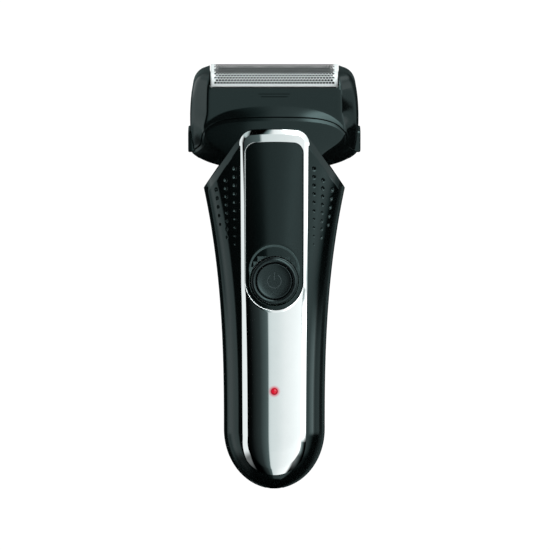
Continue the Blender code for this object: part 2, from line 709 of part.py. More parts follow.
def make_flexures(look, head):
    for side, name in ((-1, "flexure_left"), (1, "flexure_right")):
        a, b = sorted((side * 14.4, side * 14.9))
        finish_mesh(name, box((a, -6, 1.6), (b, 6, 5.6)), look, head)


def make_release_buttons(looks, head):
    for side, name in ((-1, "left"), (1, "right")):
        def place(a, b, t, side=side):
            return (side * t, a, b + RELEASE_V)

        rings = []
        for inset, t in ((0.4, 31.0), (0.0, 30.6), (0.0, 28.9)):
            a, b = RELEASE_DEPTH - inset, RELEASE_HEIGHT - inset
            rings.append([place(-a, -b, t), place(a, -b, t), place(a, b, t), place(-a, b, t)])
        origin = (side * 31.0, 0, RELEASE_V)
        black = looks["gloss_black"]
        button = finish_mesh(f"release_button_{name}", loft(rings), black, head, origin=origin)
        low, high = sorted((side * 26.9, side * 29.5))
        stem = turned(((1.6, low), (1.6, high)), 12, (0, RELEASE_V), "x")
        add(button, f"release_stem_{name}", stem, head)
        helix_curve(f"release_spring_{name}", 2.3, 25.6, 28.4, 2.5, 0.4, looks["spring_steel"], head, place)


def main():
    clear_scene()
    looks = make_materials()
    head = bpy.data.objects.new("head_frame", None)
    bpy.context.scene.collection.objects.link(head)
    head.matrix_world = Matrix.Translation(Vector(HEAD_AT) * MM) @ Matrix.Rotation(HEAD_TILT, 4, "X")

    cavity = make_cavity_shape("handle_cavity")
    make_rear_shell(looks["gloss_black"], cavity, head)
    make_front_shell(looks["gloss_black"], cavity, head)
    make_fascia(looks["chrome"])
    make_inlay(looks["inlay_black"])
    make_button(looks)
    make_board(looks)
    make_battery(looks)
    make_chassis(looks["inner_plastic"])
    make_rear_screws(looks["spring_steel"])
    make_socket(looks)
    make_motor(looks)
    make_rotor(looks)
    make_leads(looks)

    make_head_base(looks["satin_black"], head)
    make_neck_seal(looks["rubber"], head)
    make_foil_frame(looks["gloss_black"], head)
    make_cassette(looks["inner_plastic"], head)
    make_foils(looks["foil_steel"], head)
    make_cutters(looks, head)
    make_cutter_springs(looks["spring_steel"], head)
    make_oscillator(looks["inner_plastic"], head)
    make_flexures(looks["spring_steel"], head)
    make_release_buttons(looks, head)


main()
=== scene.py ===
"""The looks of a cordless foil shaver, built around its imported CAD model.

Shapes are worked out in millimetres, as the design states them, and turned into metres when a mesh is made.
The head's pieces are worked out in the head's own frame: x across, u from front to rear, v up.
"""

import math

import bmesh
import bpy
import numpy as np
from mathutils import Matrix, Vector


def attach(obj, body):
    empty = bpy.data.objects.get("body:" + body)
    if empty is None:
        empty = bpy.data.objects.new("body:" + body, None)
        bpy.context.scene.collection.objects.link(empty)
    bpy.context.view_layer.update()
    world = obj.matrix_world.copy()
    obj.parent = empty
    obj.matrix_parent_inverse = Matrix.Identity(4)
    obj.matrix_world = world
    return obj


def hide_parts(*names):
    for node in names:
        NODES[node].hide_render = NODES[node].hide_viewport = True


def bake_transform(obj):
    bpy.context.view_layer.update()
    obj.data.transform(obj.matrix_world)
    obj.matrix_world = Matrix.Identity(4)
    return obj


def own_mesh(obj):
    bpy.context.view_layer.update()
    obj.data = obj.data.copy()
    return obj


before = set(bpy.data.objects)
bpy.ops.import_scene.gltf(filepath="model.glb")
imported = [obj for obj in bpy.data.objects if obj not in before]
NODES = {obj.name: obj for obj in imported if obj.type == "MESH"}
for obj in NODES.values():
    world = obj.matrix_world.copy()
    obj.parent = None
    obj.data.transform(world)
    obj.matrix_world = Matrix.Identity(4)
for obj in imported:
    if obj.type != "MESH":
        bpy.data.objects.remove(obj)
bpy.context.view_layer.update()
SCENE = bpy.context.scene
MM = 0.001

# Handle
HANDLE_HALF = 18.2
FLARE = 7.2
FLARE_POWER = 2.6
SECTION_POWER = 2.4
END_HEIGHT = 21.0
END_DEPTH_HEIGHT = 15.0
END_DEPTH_POWER = 2.6
END_CUT, END_DEPTH_CUT = 0.38, 0.95  # how far below the end its curves would close, which leaves it a flat
SHOULDER_Z = 108.0
SHOULDER_SLOPE = 0.70
FRONT_DEPTH = 15.6
REAR_DEPTH = 14.8
PALM_SWELL = 2.1
SEAM_Y = -4.0
HALF_GAP = 0.15
RIM = 0.6
REST_FLAT_Y = 16.5
TONGUE_TOP = 128.8
BEVEL_WIDTH = 2.0  # of the slanting bevel along the shoulders

# Fascia, inlay and button
FASCIA_HALF = 12.5
FASCIA_TOP = 129.4
FASCIA_END_Z = 17.3
FASCIA_END_RADIUS = 11.9
FASCIA_CORNER = 4.4
FASCIA_PROUD = 0.82
FASCIA_FALL = 1.12  # of its rolled edge
WINDOW_HALF = 10.35
WINDOW_TOP = 125.0
WINDOW_CORNER = 3.5
BUTTON_Z = 75.1
RECESS_RADIUS = 8.9
SCOOP_Z, SCOOP_RADIUS = 79.1, 9.1
LED_Z = 35.6

# Head
HEAD_TILT = math.radians(10.0)
HEAD_AT = Vector((0.0, 3.0, 118.0))
SEAM_MIDDLE = 18.7
SEAM_BEND, SEAM_END = 20.9, 24.0
BAND_HEIGHT = 4.0
BAND_FLARE = 1.6  # at the middle of the front, less towards the corners
CORNER_FLARE = 0.3
REAR_FLARE = 0.6  # of the front's
FOIL_TOP = 33.65
FOIL_PITCH = 6.4
FOIL_HALF = 22.8
FOIL_LOW = 24.0
OUTER_FOIL_RADIUS = 3.6
MIDDLE_FOIL_RADIUS = 2.2
FOIL_THICK, CUTTER_GAP = 0.3, 0.3
RELEASE_V = 7.6  # the height of the release buttons' middle
OPENING_HALF, OPENING_DEPTH = 23.2, 10.7
RIM_LOW = 29.0
OPENING_CORNER = 1.3
RIM_TOP_Z = 143.5  # above it, the level faces in the opening are the rim's top
LINES = ("front", "middle", "rear")


# ---- mesh helpers ----------------------------------------------------------------------------------------


def smooth(value, low, high):
    """0 below low, 1 above high, and an even curve between."""
    share = np.clip((np.asarray(value, float) - low) / (high - low), 0.0, 1.0)
    return share * share * (3 - 2 * share)


def lean(points):
    """Points from the head's own frame into the upright one."""
    points = np.asarray(points, float)
    out = points.copy()
    out[..., 1] = HEAD_AT.y + points[..., 1] * math.cos(HEAD_TILT) - points[..., 2] * math.sin(HEAD_TILT)
    out[..., 2] = HEAD_AT.z + points[..., 1] * math.sin(HEAD_TILT) + points[..., 2] * math.cos(HEAD_TILT)
    return out


def make_piece(name, points, faces, look, angle=32):
    mesh = bpy.data.meshes.new(name)
    mesh.from_pydata((np.asarray(points) * MM).tolist(), [], faces)
    mesh.validate()
    mesh.shade_smooth()
    mesh.set_sharp_from_angle(angle=math.radians(angle))
    mesh.materials.append(look)
    piece = bpy.data.objects.new(name, mesh)
    SCENE.collection.objects.link(piece)
    return piece


def grid_faces(rows, columns, ring=False, start=0):
    faces = []
    last = columns if ring else columns - 1
    for r in range(rows - 1):
        for c in range(last):
            d = (c + 1) % columns
            low, high = start + r * columns, start + (r + 1) * columns
            faces.append((low + c, low + d, high + d, high + c))
    return faces


def sheet_piece(name, grid, look, ring=False, caps=(), angle=32):
    """A piece from rows of points; caps names the end rows, 0 or -1, that a flat face closes."""
    grid = np.asarray(grid, float)
    rows, columns = grid.shape[:2]
    faces = grid_faces(rows, columns, ring)
    for end in caps:
        first = 0 if end == 0 else (rows - 1) * columns
        loop = list(range(first, first + columns))
        faces.append(tuple(loop if end else loop[::-1]))
    return make_piece(name, grid.reshape(-1, 3), faces, look, angle)


def outward(piece):
    """Turns every face of a closed piece outwards."""
    build = bmesh.new()
    build.from_mesh(piece.data)
    bmesh.ops.remove_doubles(build, verts=build.verts, dist=1e-7)
    bmesh.ops.recalc_face_normals(build, faces=build.faces)
    build.to_mesh(piece.data)
    build.free()
    return piece


def turned(name, profile, look, centre=(0.0, 0.0), axis="y", count=96, angle=32, hollow=False):
    """A shape turned through (radius, place on the axis) points: a solid with flat ends, or a hollow ring."""
    turns = np.linspace(0, 2 * math.pi, count, endpoint=False)
    grid = []
    for radius, along in profile + profile[:1] if hollow else profile:
        a, b = centre[0] + radius * np.cos(turns), centre[1] + radius * np.sin(turns)
        along = np.full(count, along)
        grid.append(np.stack({"x": (along, a, b), "y": (a, along, b), "z": (a, b, along)}[axis], -1))
    return outward(sheet_piece(name, grid, look, ring=True, caps=() if hollow else (0, -1), angle=angle))


def block(name, low, high, leaning=False):
    corners = [(x, y, z) for x in (low[0], high[0]) for y in (low[1], high[1]) for z in (low[2], high[2])]
    corners = lean(corners) if leaning else np.asarray(corners)
    faces = [(0, 1, 3, 2), (4, 6, 7, 5), (0, 4, 5, 1), (2, 3, 7, 6), (0, 2, 6, 4), (1, 5, 7, 3)]
    return outward(make_piece(name, corners, faces, STEEL))


def carve(piece, cutters):
    """Cuts the cutters out of the piece for good, and removes them."""
    for cutter in cutters:
        step = piece.modifiers.new("cut", "BOOLEAN")
        step.object = cutter
        step.operation = "DIFFERENCE"
        step.solver = "EXACT"
    graph = bpy.context.evaluated_depsgraph_get()
    made = bpy.data.meshes.new_from_object(piece.evaluated_get(graph))
    piece.modifiers.clear()
    piece.data = made
    made.shade_smooth()
    made.set_sharp_from_angle(angle=math.radians(32))
    for cutter in cutters:
        bpy.data.objects.remove(cutter, do_unlink=True)
    return piece


def open_up(piece, centre, radius):
    """Removes the faces that reach within the radius of a point."""
    build = bmesh.new()
    build.from_mesh(piece.data)
    middle = Vector(centre) * MM
    near = [face for face in build.faces if min((v.co - middle).length for v in face.verts) < radius * MM]
    bmesh.ops.delete(build, geom=near, context="FACES")
    build.to_mesh(piece.data)
    build.free()


def place(piece, body, node=None):
    """The piece rides on its body, and stands for a CAD node."""
    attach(piece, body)
    if node:
        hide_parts(node)
    return piece


# ---- materials -------------------------------------------------------------------------------------------

COOL_TINT = (0.68, 0.98, 0.98)  # of the black plastics' highlights


def new_look(name):
    look = bpy.data.materials.new(name)
    look.use_nodes = True
    nodes = look.node_tree.nodes
    return look, nodes, look.node_tree.links, nodes["Principled BSDF"]


def add_noise(nodes, links, scale, detail=3.0, stretch=(1, 1, 1)):
    """A noise texture in the object's own metres, its places multiplied by stretch."""
    place_node = nodes.new("ShaderNodeTexCoord")
    turn = nodes.new("ShaderNodeMapping")
    turn.inputs["Scale"].default_value = stretch
    noise = nodes.new("ShaderNodeTexNoise")
    noise.inputs["Scale"].default_value = scale
    noise.inputs["Detail"].default_value = detail
    links.new(place_node.outputs["Object"], turn.inputs["Vector"])
    links.new(turn.outputs["Vector"], noise.inputs["Vector"])
    return noise.outputs["Fac"]


def spread(nodes, links, source, low, high):
    """Maps 0..1 onto low..high."""
    change = nodes.new("ShaderNodeMapRange")
    change.inputs["To Min"].default_value = low
    change.inputs["To Max"].default_value = high
    links.new(source, change.inputs["Value"])
    return change.outputs["Result"]


def ramp_between(nodes, links, source, low, high):
    """0 at low, 1 at high, and a smooth step between."""
    change = nodes.new("ShaderNodeMapRange")
    change.interpolation_type = "SMOOTHSTEP"
    change.inputs["From Min"].default_value = low
    change.inputs["From Max"].default_value = high
    links.new(source, change.inputs["Value"])
    return change.outputs["Result"]


def blend_colours(nodes, links, share, *ends):
    """Mixes two colours, each a plain (red, green, blue) or another node's output."""
    mix = nodes.new("ShaderNodeMix")
    mix.data_type = "RGBA"
    links.new(share, mix.inputs["Factor"])
    for socket, end in zip(("A", "B"), ends):
        if isinstance(end, tuple):
            mix.inputs[socket].default_value = (*end, 1)
        else:
            links.new(end, mix.inputs[socket])
    return mix.outputs["Result"]


def mix_shaders(nodes, links, share, first, second):
    mix = nodes.new("ShaderNodeMixShader")
    for socket, source in zip(mix.inputs, (share, first, second)):
        links.new(source, socket)
    return mix.outputs["Shader"]


def add_bump(nodes, links, shader, source, strength, distance):
    bump = nodes.new("ShaderNodeBump")
    bump.inputs["Strength"].default_value = strength
    bump.inputs["Distance"].default_value = distance
    links.new(source, bump.inputs["Height"])
    links.new(bump.outputs["Normal"], shader.inputs["Normal"])


def plastic(
    name, dark, light, rough, coat=0.0, grain=0.0, grain_scale=9000.0, tint=COOL_TINT, ior=1.48
):
    """Moulded plastic: a slightly clouded colour, uneven polish, and optional fine grain."""
    look, nodes, links, shader = new_look(name)
    cloud = add_noise(nodes, links, 90.0)
    links.new(blend_colours(nodes, links, cloud, dark, light), shader.inputs["Base Color"])
    polish = add_noise(nodes, links, 260.0, 5.0)
    links.new(spread(nodes, links, polish, *rough), shader.inputs["Roughness"])
    shader.inputs["Specular Tint"].default_value = (*tint, 1)
    shader.inputs["IOR"].default_value = ior
    shader.inputs["Coat Weight"].default_value = coat
    shader.inputs["Coat Roughness"].default_value = 0.04
    if grain:
        add_bump(nodes, links, shader, add_noise(nodes, links, grain_scale, 2.0), grain, 0.00005)
    return look


def metal(name, dark, light, rough, scale=400.0, stretch=(1.0, 1.0, 1.0), bump=0.0, bare=1.0):
    """Metal with an uneven finish; stretch draws the unevenness out into brushing."""
    look, nodes, links, shader = new_look(name)
    shader.inputs["Metallic"].default_value = bare
    finish = add_noise(nodes, links, scale, 4.0, stretch)
    links.new(blend_colours(nodes, links, finish, dark, light), shader.inputs["Base Color"])
    links.new(spread(nodes, links, finish, *rough), shader.inputs["Roughness"])
    if bump:
        add_bump(nodes, links, shader, finish, bump, 0.00002)
    return look


def lamp_look():
    """The lit charge lamp: a red glow, a little uneven."""
    look, nodes, links, shader = new_look("lamp_lens")
    cloud = add_noise(nodes, links, 700.0)
    lens = blend_colours(nodes, links, cloud, (0.10, 0.0, 0.008), (0.14, 0.002, 0.01))
    glow = blend_colours(nodes, links, cloud, (0.85, 0.0, 0.02), (1.0, 0.02, 0.05))
    links.new(lens, shader.inputs["Base Color"])
    links.new(glow, shader.inputs["Emission Color"])
    shader.inputs["Emission Strength"].default_value = 0.62
    shader.inputs["Roughness"].default_value = 0.15
    return look


def paint_lamp_glow(look):
    """Paints the lamp's soft red halo into the plate's colour round it: a painted glow of the lamp's light.
    """
    nodes, links = look.node_tree.nodes, look.node_tree.links
    place_node = nodes.new("ShaderNodeTexCoord")
    away = nodes.new("ShaderNodeVectorMath")
    away.operation = "DISTANCE"
    away.inputs[1].default_value = (0.0, -0.0164, LED_Z * MM)
    links.new(place_node.outputs["Object"], away.inputs[0])
    near = ramp_between(nodes, links, away.outputs["Value"], 0.0024, 0.0009)
    colour = nodes["Principled BSDF"].inputs["Base Color"]
    plate = colour.links[0].from_socket
    links.new(blend_colours(nodes, links, near, plate, (1.0, 0.08, 0.16)), colour)
    return look


def board_look():
    """Green solder mask over faint copper traces."""
    look, nodes, links, shader = new_look("board_green")
    place_node = nodes.new("ShaderNodeTexCoord")
    brick = nodes.new("ShaderNodeTexBrick")
    brick.inputs["Scale"].default_value = 260.0
    brick.inputs["Mortar Size"].default_value = 0.03
    brick.inputs["Color1"].default_value = (0.012, 0.10, 0.05, 1)
    brick.inputs["Color2"].default_value = (0.015, 0.12, 0.06, 1)
    brick.inputs["Mortar"].default_value = (0.05, 0.22, 0.10, 1)
    links.new(place_node.outputs["Object"], brick.inputs["Vector"])
    links.new(brick.outputs["Color"], shader.inputs["Base Color"])
    shader.inputs["Roughness"].default_value = 0.4
    return look


GLOSS_BLACK = plastic("gloss_black", (0.0010, 0.0016, 0.0016), (0.0018, 0.0027, 0.0027), (0.06, 0.10))
HEAD_BLACK = plastic("head_black", (0.0014, 0.0021, 0.0021), (0.0024, 0.0034, 0.0034), (0.08, 0.12))
INLAY_BLACK = plastic(
    "inlay_black", (0.0007, 0.0010, 0.0010), (0.0011, 0.0015, 0.0015), (0.15, 0.19), ior=1.45
)
SCOOP_BLACK = plastic("scoop_satin", (0.028, 0.042, 0.042), (0.036, 0.052, 0.052), (0.30, 0.40), 0, 0.15)
BUTTON_BLACK = plastic("button_black", (0.003, 0.0038, 0.004), (0.005, 0.006, 0.0066), (0.20, 0.28), 0, 0.1)
MARK_BLACK = plastic("mark_satin", (0.020, 0.026, 0.027), (0.028, 0.034, 0.036), (0.25, 0.35), 0, 0.1)
GRIP_BLACK = plastic("grip_black", (0.005, 0.0058, 0.006), (0.009, 0.010, 0.0105), (0.42, 0.55), 0, 0.3)
# Dark plastic with almost no reflection: the inner parts' own colour, and painted shade on the foils'
# insides, their holes' edges and the frame rim's top.
INNER_BLACK_AND_PAINTED_SHADE = plastic("inner_black_and_painted_shade", (0.003, 0.003, 0.003), (0.005, 0.005, 0.005), (0.5, 0.6), 0, 0.2)
INNER_BLACK_AND_PAINTED_SHADE.node_tree.nodes["Principled BSDF"].inputs["Specular IOR Level"].default_value = 0.05
NYLON = plastic(
    "inner_plastic", (0.46, 0.47, 0.46), (0.56, 0.57, 0.55), (0.40, 0.52), 0, 0.2, 5000.0, (1, 1, 1)
)
RUBBER = plastic("soft_rubber", (0.012, 0.012, 0.012), (0.02, 0.02, 0.02), (0.6, 0.75), 0, 0.3)
LEAD_RED = plastic("lead_red", (0.40, 0.02, 0.015), (0.52, 0.03, 0.02), (0.4, 0.5))
WRAP = plastic("battery_wrap", (0.03, 0.15, 0.30), (0.05, 0.19, 0.36), (0.22, 0.32))
# The chrome's colour carries a painted red glow of the lamp round the lamp's hole.
CHROME = paint_lamp_glow(metal("chrome_trim", (0.86, 0.89, 0.89), (0.92, 0.945, 0.945), (0.02, 0.05), 220.0))
BRUSHED = (700.0, (1, 8, 8), 0.1)
FOIL_STEEL = metal("foil_steel", (0.80, 0.84, 0.84), (0.90, 0.93, 0.93), (0.34, 0.44), *BRUSHED, 0.12)
LATTICE_STEEL = metal("foil_lattice", (0.55, 0.59, 0.59), (0.64, 0.67, 0.67), (0.34, 0.44), *BRUSHED, 0.12)
# A dark, barely reflecting copy of the foil steel: painted shade over the front foil's crown, and over the
# fronts and tops of the middle and rear foils.
CROWN_PAINTED_SHADE = metal("foil_crown_painted_shade", (0.12, 0.13, 0.13), (0.17, 0.18, 0.18), (0.40, 0.50), *BRUSHED, 0.0)
CROWN_PAINTED_SHADE.node_tree.nodes["Principled BSDF"].inputs["Specular IOR Level"].default_value = 0.08
# The cutters' steel is darkened to near black: painted shade for the hollow under the foils.
CUTTER_STEEL_PAINTED_SHADE = metal("cutter_steel", (0.010, 0.011, 0.012), (0.018, 0.019, 0.020), (0.4, 0.5), 900.0)
STEEL = metal("plain_steel", (0.42, 0.43, 0.44), (0.56, 0.57, 0.58), (0.26, 0.40), 600.0)
BRASS = metal("socket_brass", (0.66, 0.48, 0.20), (0.80, 0.60, 0.28), (0.2, 0.35), 500.0)
LAMP = lamp_look()
BOARD = board_look()


# ---- the handle's surfaces ---------------------------------------------------------------------------------


def half_width(z):
    z = np.asarray(z, float)
    fall = 1 - (np.clip(z, 0, END_HEIGHT) + END_CUT) / (END_HEIGHT + END_CUT)
    low = HANDLE_HALF * np.sqrt(1 - fall**2)
    rise = np.clip(z - END_HEIGHT, 0, None) / (SHOULDER_Z - END_HEIGHT)
    return np.where(z < END_HEIGHT, low, HANDLE_HALF + FLARE * rise**FLARE_POWER)


def end_share(z):
    height = np.clip(np.asarray(z, float), 0, END_DEPTH_HEIGHT)
    fall = 1 - (height + END_DEPTH_CUT) / (END_DEPTH_HEIGHT + END_DEPTH_CUT)
    return (1 - fall**END_DEPTH_POWER) ** (1 / END_DEPTH_POWER)


def front_depth(z):
    return FRONT_DEPTH * end_share(z)


def rear_depth(z):
    return (REAR_DEPTH + PALM_SWELL * np.exp(-(((np.asarray(z, float) - 58) / 34) ** 2))) * end_share(z)


def signed_root(value):
    return np.sign(value) * np.abs(value) ** (2 / SECTION_POWER)


def front_surface(x, z):
    """How far in front of the axis the front shell's outside lies."""
    share = np.clip(np.abs(x) / (half_width(z) - RIM), 0, 0.999)
    return front_depth(z) * (1 - share**SECTION_POWER) ** (1 / SECTION_POWER)


def shoulder_line(z):
    return half_width(SHOULDER_Z) - SHOULDER_SLOPE * (z - SHOULDER_Z)


def grid_normals(grid):
    """Unit normals of a grid of points, from its neighbours."""
    along = np.gradient(grid, axis=0)
    across = np.gradient(grid, axis=1)
    normal = np.cross(across, along)
    return normal / np.maximum(np.linalg.norm(normal, axis=-1, keepdims=True), 1e-12)


def top_heights(columns, point_at, inside, low, high):
    """For each column, the highest z at which its point is still inside, by halving."""
    below, above = np.full(len(columns), low), np.full(len(columns), high)
    for _ in range(30):
        middle = (below + above) / 2
        ok = inside(point_at(columns, middle), middle)
        below, above = np.where(ok, middle, below), np.where(ok, above, middle)
    return below


def end_rows(count, height):
    """Heights through a rounded end, close together where it curves most."""
    return [height * (1 - math.cos(math.pi / 2 * i / count)) for i in range(count)]


def front_point(s, z):
    reach = np.arccos(np.clip(((-SEAM_Y + HALF_GAP) / front_depth(z)) ** (SECTION_POWER / 2), 0, 1))
    angle = s * reach
    x = (half_width(z) - RIM) * signed_root(np.sin(angle))
    return np.stack([x, -front_depth(z) * signed_root(np.cos(angle)), np.broadcast_to(z, x.shape)], -1)


DIMPLE_COLUMNS = (  # x and z of the top one, x and z of the bottom one, how many
    (14.2, 115.4, 14.2, 88.1, 10),
    (17.5, 111.1, 17.0, 90.6, 8),
    (20.8, 107.6, 19.4, 95.1, 5),
)


def dimples():
    for x_top, z_top, x_low, z_low, count in DIMPLE_COLUMNS:
        for i in range(count):
            share = i / (count - 1)
            x, z = x_top + (x_low - x_top) * share, z_top + (z_low - z_top) * share
            radius = 0.92 - 0.5 * share * (z_top - z_low) / 27.3
            yield x, z, radius
            yield -x, z, radius


def make_front_shell():
    side = np.linspace(0.30, 1.0, 112)
    s = np.concatenate([-side[::-1], np.linspace(-0.28, 0.28, 11), side])
    inside = lambda p, z: (np.abs(p[..., 0]) < shoulder_line(z)) & (z < TONGUE_TOP)
    tops = top_heights(s, front_point, inside, 100.0, 130.0)
    drop = BEVEL_WIDTH * math.hypot(1, SHOULDER_SLOPE) / SHOULDER_SLOPE
    levels = end_rows(34, END_HEIGHT)
    levels += list(np.linspace(END_HEIGHT, 84, 34)) + list(np.arange(84.22, 100, 0.22))
    rows = [front_point(s, np.full(len(s), z)) for z in levels]
    for t in np.linspace(0, 1, 70):
        rows.append(front_point(s, 100 + (tops - drop - 100) * t))
    for t in np.linspace(0, 1, 12)[1:]:
        rows.append(front_point(s, tops - drop * (1 - t)))
    grid = np.array(rows)
    normal = grid_normals(grid)
    edge = (shoulder_line(grid[..., 2]) - np.abs(grid[..., 0])) / math.hypot(1, SHOULDER_SLOPE)
    sink = np.zeros(edge.shape)
    for x, z, radius in dimples():
        centre = np.array([x, -front_surface(x, z), z])
        away = np.linalg.norm(grid - centre, axis=-1) / radius
        sink = np.maximum(sink, 0.72 * radius * (1 - smooth(away, 0.1, 1.0)))
    grid = grid - normal * sink[..., None]
    grid[..., 1] += 0.75 * np.clip(BEVEL_WIDTH - edge, 0, BEVEL_WIDTH)
    last = grid[-1]
    back = np.where(last[:, 2] > 113.5, tongue_back(last[:, 2]), SEAM_Y - HALF_GAP)
    rear_edge = np.stack([last[:, 0], np.maximum(back, last[:, 1] + 0.1), last[:, 2]], -1)
    wall = [last + (rear_edge - last) * t for t in (0.02, 0.5, 1.0)]
    floor = grid[0].copy()
    floor[:, 1] = SEAM_Y - HALF_GAP
    grid = np.concatenate([[floor], grid, wall])
    lip = []
    for depth_in, back_by in ((0.12, 0.1), (1.6, 0.1)):
        for end in (0, -1):
            edge_line = grid[:, end].copy()
            edge_line[:, 0] -= np.sign(edge_line[:, 0]) * np.minimum(depth_in, np.abs(edge_line[:, 0]))
            edge_line[:, 1] += back_by
            lip.append(edge_line)
    columns = [lip[2], lip[0]] + [grid[:, c] for c in range(grid.shape[1])] + [lip[1], lip[3]]
    shell = sheet_piece("front_shell_skin", np.stack(columns, 1), GLOSS_BLACK, angle=28)
    open_up(shell, (0, -FRONT_DEPTH, BUTTON_Z), RECESS_RADIUS)
    place(shell, "handle", "front_shell")


def tongue_back(z):
    """The plane just in front of the head base, which the shell's tongue ends at."""
    return HEAD_AT.y + (-13.9 - (z - HEAD_AT.z) * math.sin(HEAD_TILT)) / math.cos(HEAD_TILT)


def rear_point(s, z):
    """s runs from one front edge of the rear shell round the back to the other."""
    over = np.arcsin(np.clip(((-SEAM_Y - HALF_GAP) / front_depth(z)) ** (SECTION_POWER / 2), 0, 1))
    angle = s * (math.pi / 2 + over)
    depth = np.where(np.cos(angle) > 0, rear_depth(z), front_depth(z))
    x = half_width(z) * signed_root(np.sin(angle))
    y = np.minimum(depth * signed_root(np.cos(angle)), REST_FLAT_Y)
    return np.stack([x, y, np.broadcast_to(z, x.shape)], -1)


GRIP_LOW, GRIP_HIGH, GRIP_HALF, GRIP_PITCH = 27.0, 95.0, 10.5, 3.1


def grip_sink(x, z):
    """How deep the rear grip's grooves are: a rounded panel crossed by shallow waves."""
    half = GRIP_HALF - 1.5 * np.sin(math.pi * (z - GRIP_LOW) / (GRIP_HIGH - GRIP_LOW))
    radius = GRIP_HALF
    nearest = np.clip(z, GRIP_LOW + radius, GRIP_HIGH - radius)
    edge = half - np.hypot(x, (z - nearest) * half / radius)
    panel = smooth(edge, 0.0, 0.5)
    wave = 0.5 - 0.5 * np.cos(2 * math.pi * (z - GRIP_LOW + 0.25 * x * x / GRIP_HALF) / GRIP_PITCH)
    return panel * (0.22 + 0.42 * wave**2 * smooth(edge, 0.6, 1.8)), edge


def make_rear_shell():
    s = np.linspace(-1, 1, 241)
    deck = lambda p, z: -(p[..., 1] - HEAD_AT.y) * math.sin(HEAD_TILT) + (z - HEAD_AT.z) * math.cos(HEAD_TILT)
    inside = lambda p, z: (np.abs(p[..., 0]) < shoulder_line(z)) & (deck(p, z) < -3.1)
    tops = top_heights(s, rear_point, inside, 96.0, 125.0)
    levels = end_rows(30, END_HEIGHT) + list(np.linspace(END_HEIGHT, 26.6, 6)) + list(np.arange(27, 96, 0.31))
    rows = [rear_point(s, np.full(len(s), z)) for z in levels]
    for t in np.linspace(0, 1, 26)[1:]:
        rows.append(rear_point(s, levels[-1] + (tops - levels[-1]) * t))
    grid = np.array(rows)
    normal = -grid_normals(grid)
    sink, edge = grip_sink(grid[..., 0], grid[..., 2])
    sink = np.where(grid[..., 1] > 0, sink, 0)
    grid = grid - normal * sink[..., None]
    for x, z in ((-10.0, 30.0), (10.0, 30.0), (-14.5, 97.0), (14.5, 97.0)):
        hollow = 1 - smooth(np.hypot(grid[..., 0] - x, grid[..., 2] - z), 2.0, 2.35)
        grid[..., 1] += np.where(grid[..., 1] > 4, hollow * (9.95 - grid[..., 1]), 0)
    last = grid[-1]
    level = last.copy()
    level[:, 0] *= 0.72
    level[:, 1] = np.clip(last[:, 1], SEAM_Y, 9.0)
    deck_z = 118 + (-3.1 + (level[:, 1] - 3) * math.sin(HEAD_TILT)) / math.cos(HEAD_TILT)
    level[:, 2] = np.minimum(last[:, 2], deck_z)
    round_off = last + (level - last) * 0.03
    round_off[:, 2] += 0.12
    floor = grid[0].copy()
    floor[:, 1] = SEAM_Y + HALF_GAP
    grid = np.concatenate([[floor], grid, [round_off], [level]])
    lips = []
    for inwards, forwards in ((0.10, 0.0), (0.30, 0.06), (1.8, 0.06), (1.85, 0.9)):
        for end in (0, -1):
            line = grid[:, end].copy()
            line[:, 0] -= np.sign(line[:, 0]) * np.minimum(inwards, np.abs(line[:, 0]))
            line[:, 1] -= forwards
            lips.append(line)
    columns = lips[-2::-2] + [grid[:, c] for c in range(grid.shape[1])] + lips[1::2]
    grid = np.stack(columns, 1)
    shell = sheet_piece("rear_shell_skin", grid, GLOSS_BLACK, angle=28)
    shell.data.materials.append(GRIP_BLACK)
    _, edge = grip_sink(grid[..., 0], grid[..., 2])
    for face in shell.data.polygons:
        row, column = divmod(face.vertices[0], grid.shape[1])
        if edge[row, column] > 0.2 and grid[row, column, 1] > 4:
            face.material_index = 1
    place(shell, "handle", "rear_shell")


# ---- fascia, inlay and button ------------------------------------------------------------------------------


def fascia_half(z):
    share = np.clip((FASCIA_TOP - z) / (FASCIA_TOP - FASCIA_END_Z), 0, 1)
    return FASCIA_HALF - (FASCIA_HALF - FASCIA_END_RADIUS) * share


def arch_drop(x):
    """How far the fascia's arched top edge has fallen at x."""
    return 0.8 * (x / FASCIA_HALF) ** 2


TOP_STEPS, CORNER_STEPS, SIDE_STEPS, STRAIGHT_STEPS, ARC_STEPS = 36, 14, 56, 18, 64


def half_loop(top, corner_centre, corner, side_x, low_points):
    """Points from the middle of the top edge round the right side to the middle of the bottom."""
    flat = corner_centre[0]
    points = [(flat * i / TOP_STEPS, top) for i in range(TOP_STEPS)]
    for i in range(CORNER_STEPS):
        angle = math.pi / 2 * (1 - i / CORNER_STEPS)
        points.append((flat + corner * math.cos(angle), corner_centre[1] + corner * math.sin(angle)))
    for i in range(SIDE_STEPS):
        z = corner_centre[1] + (BUTTON_Z - corner_centre[1]) * i / SIDE_STEPS
        points.append((side_x(z), z))
    return points + low_points


def whole_loop(right):
    """The right half and its mirror image, as one closed loop."""
    return np.array(right + [(-x, z) for x, z in reversed(right[1:-1])])


def roll_width(z):
    """How wide the fascia's rolled edge is: narrow beside the window, and wider below it."""
    return 1.6 + 0.75 * float(smooth(BUTTON_Z - 1 - z, 0, 8))


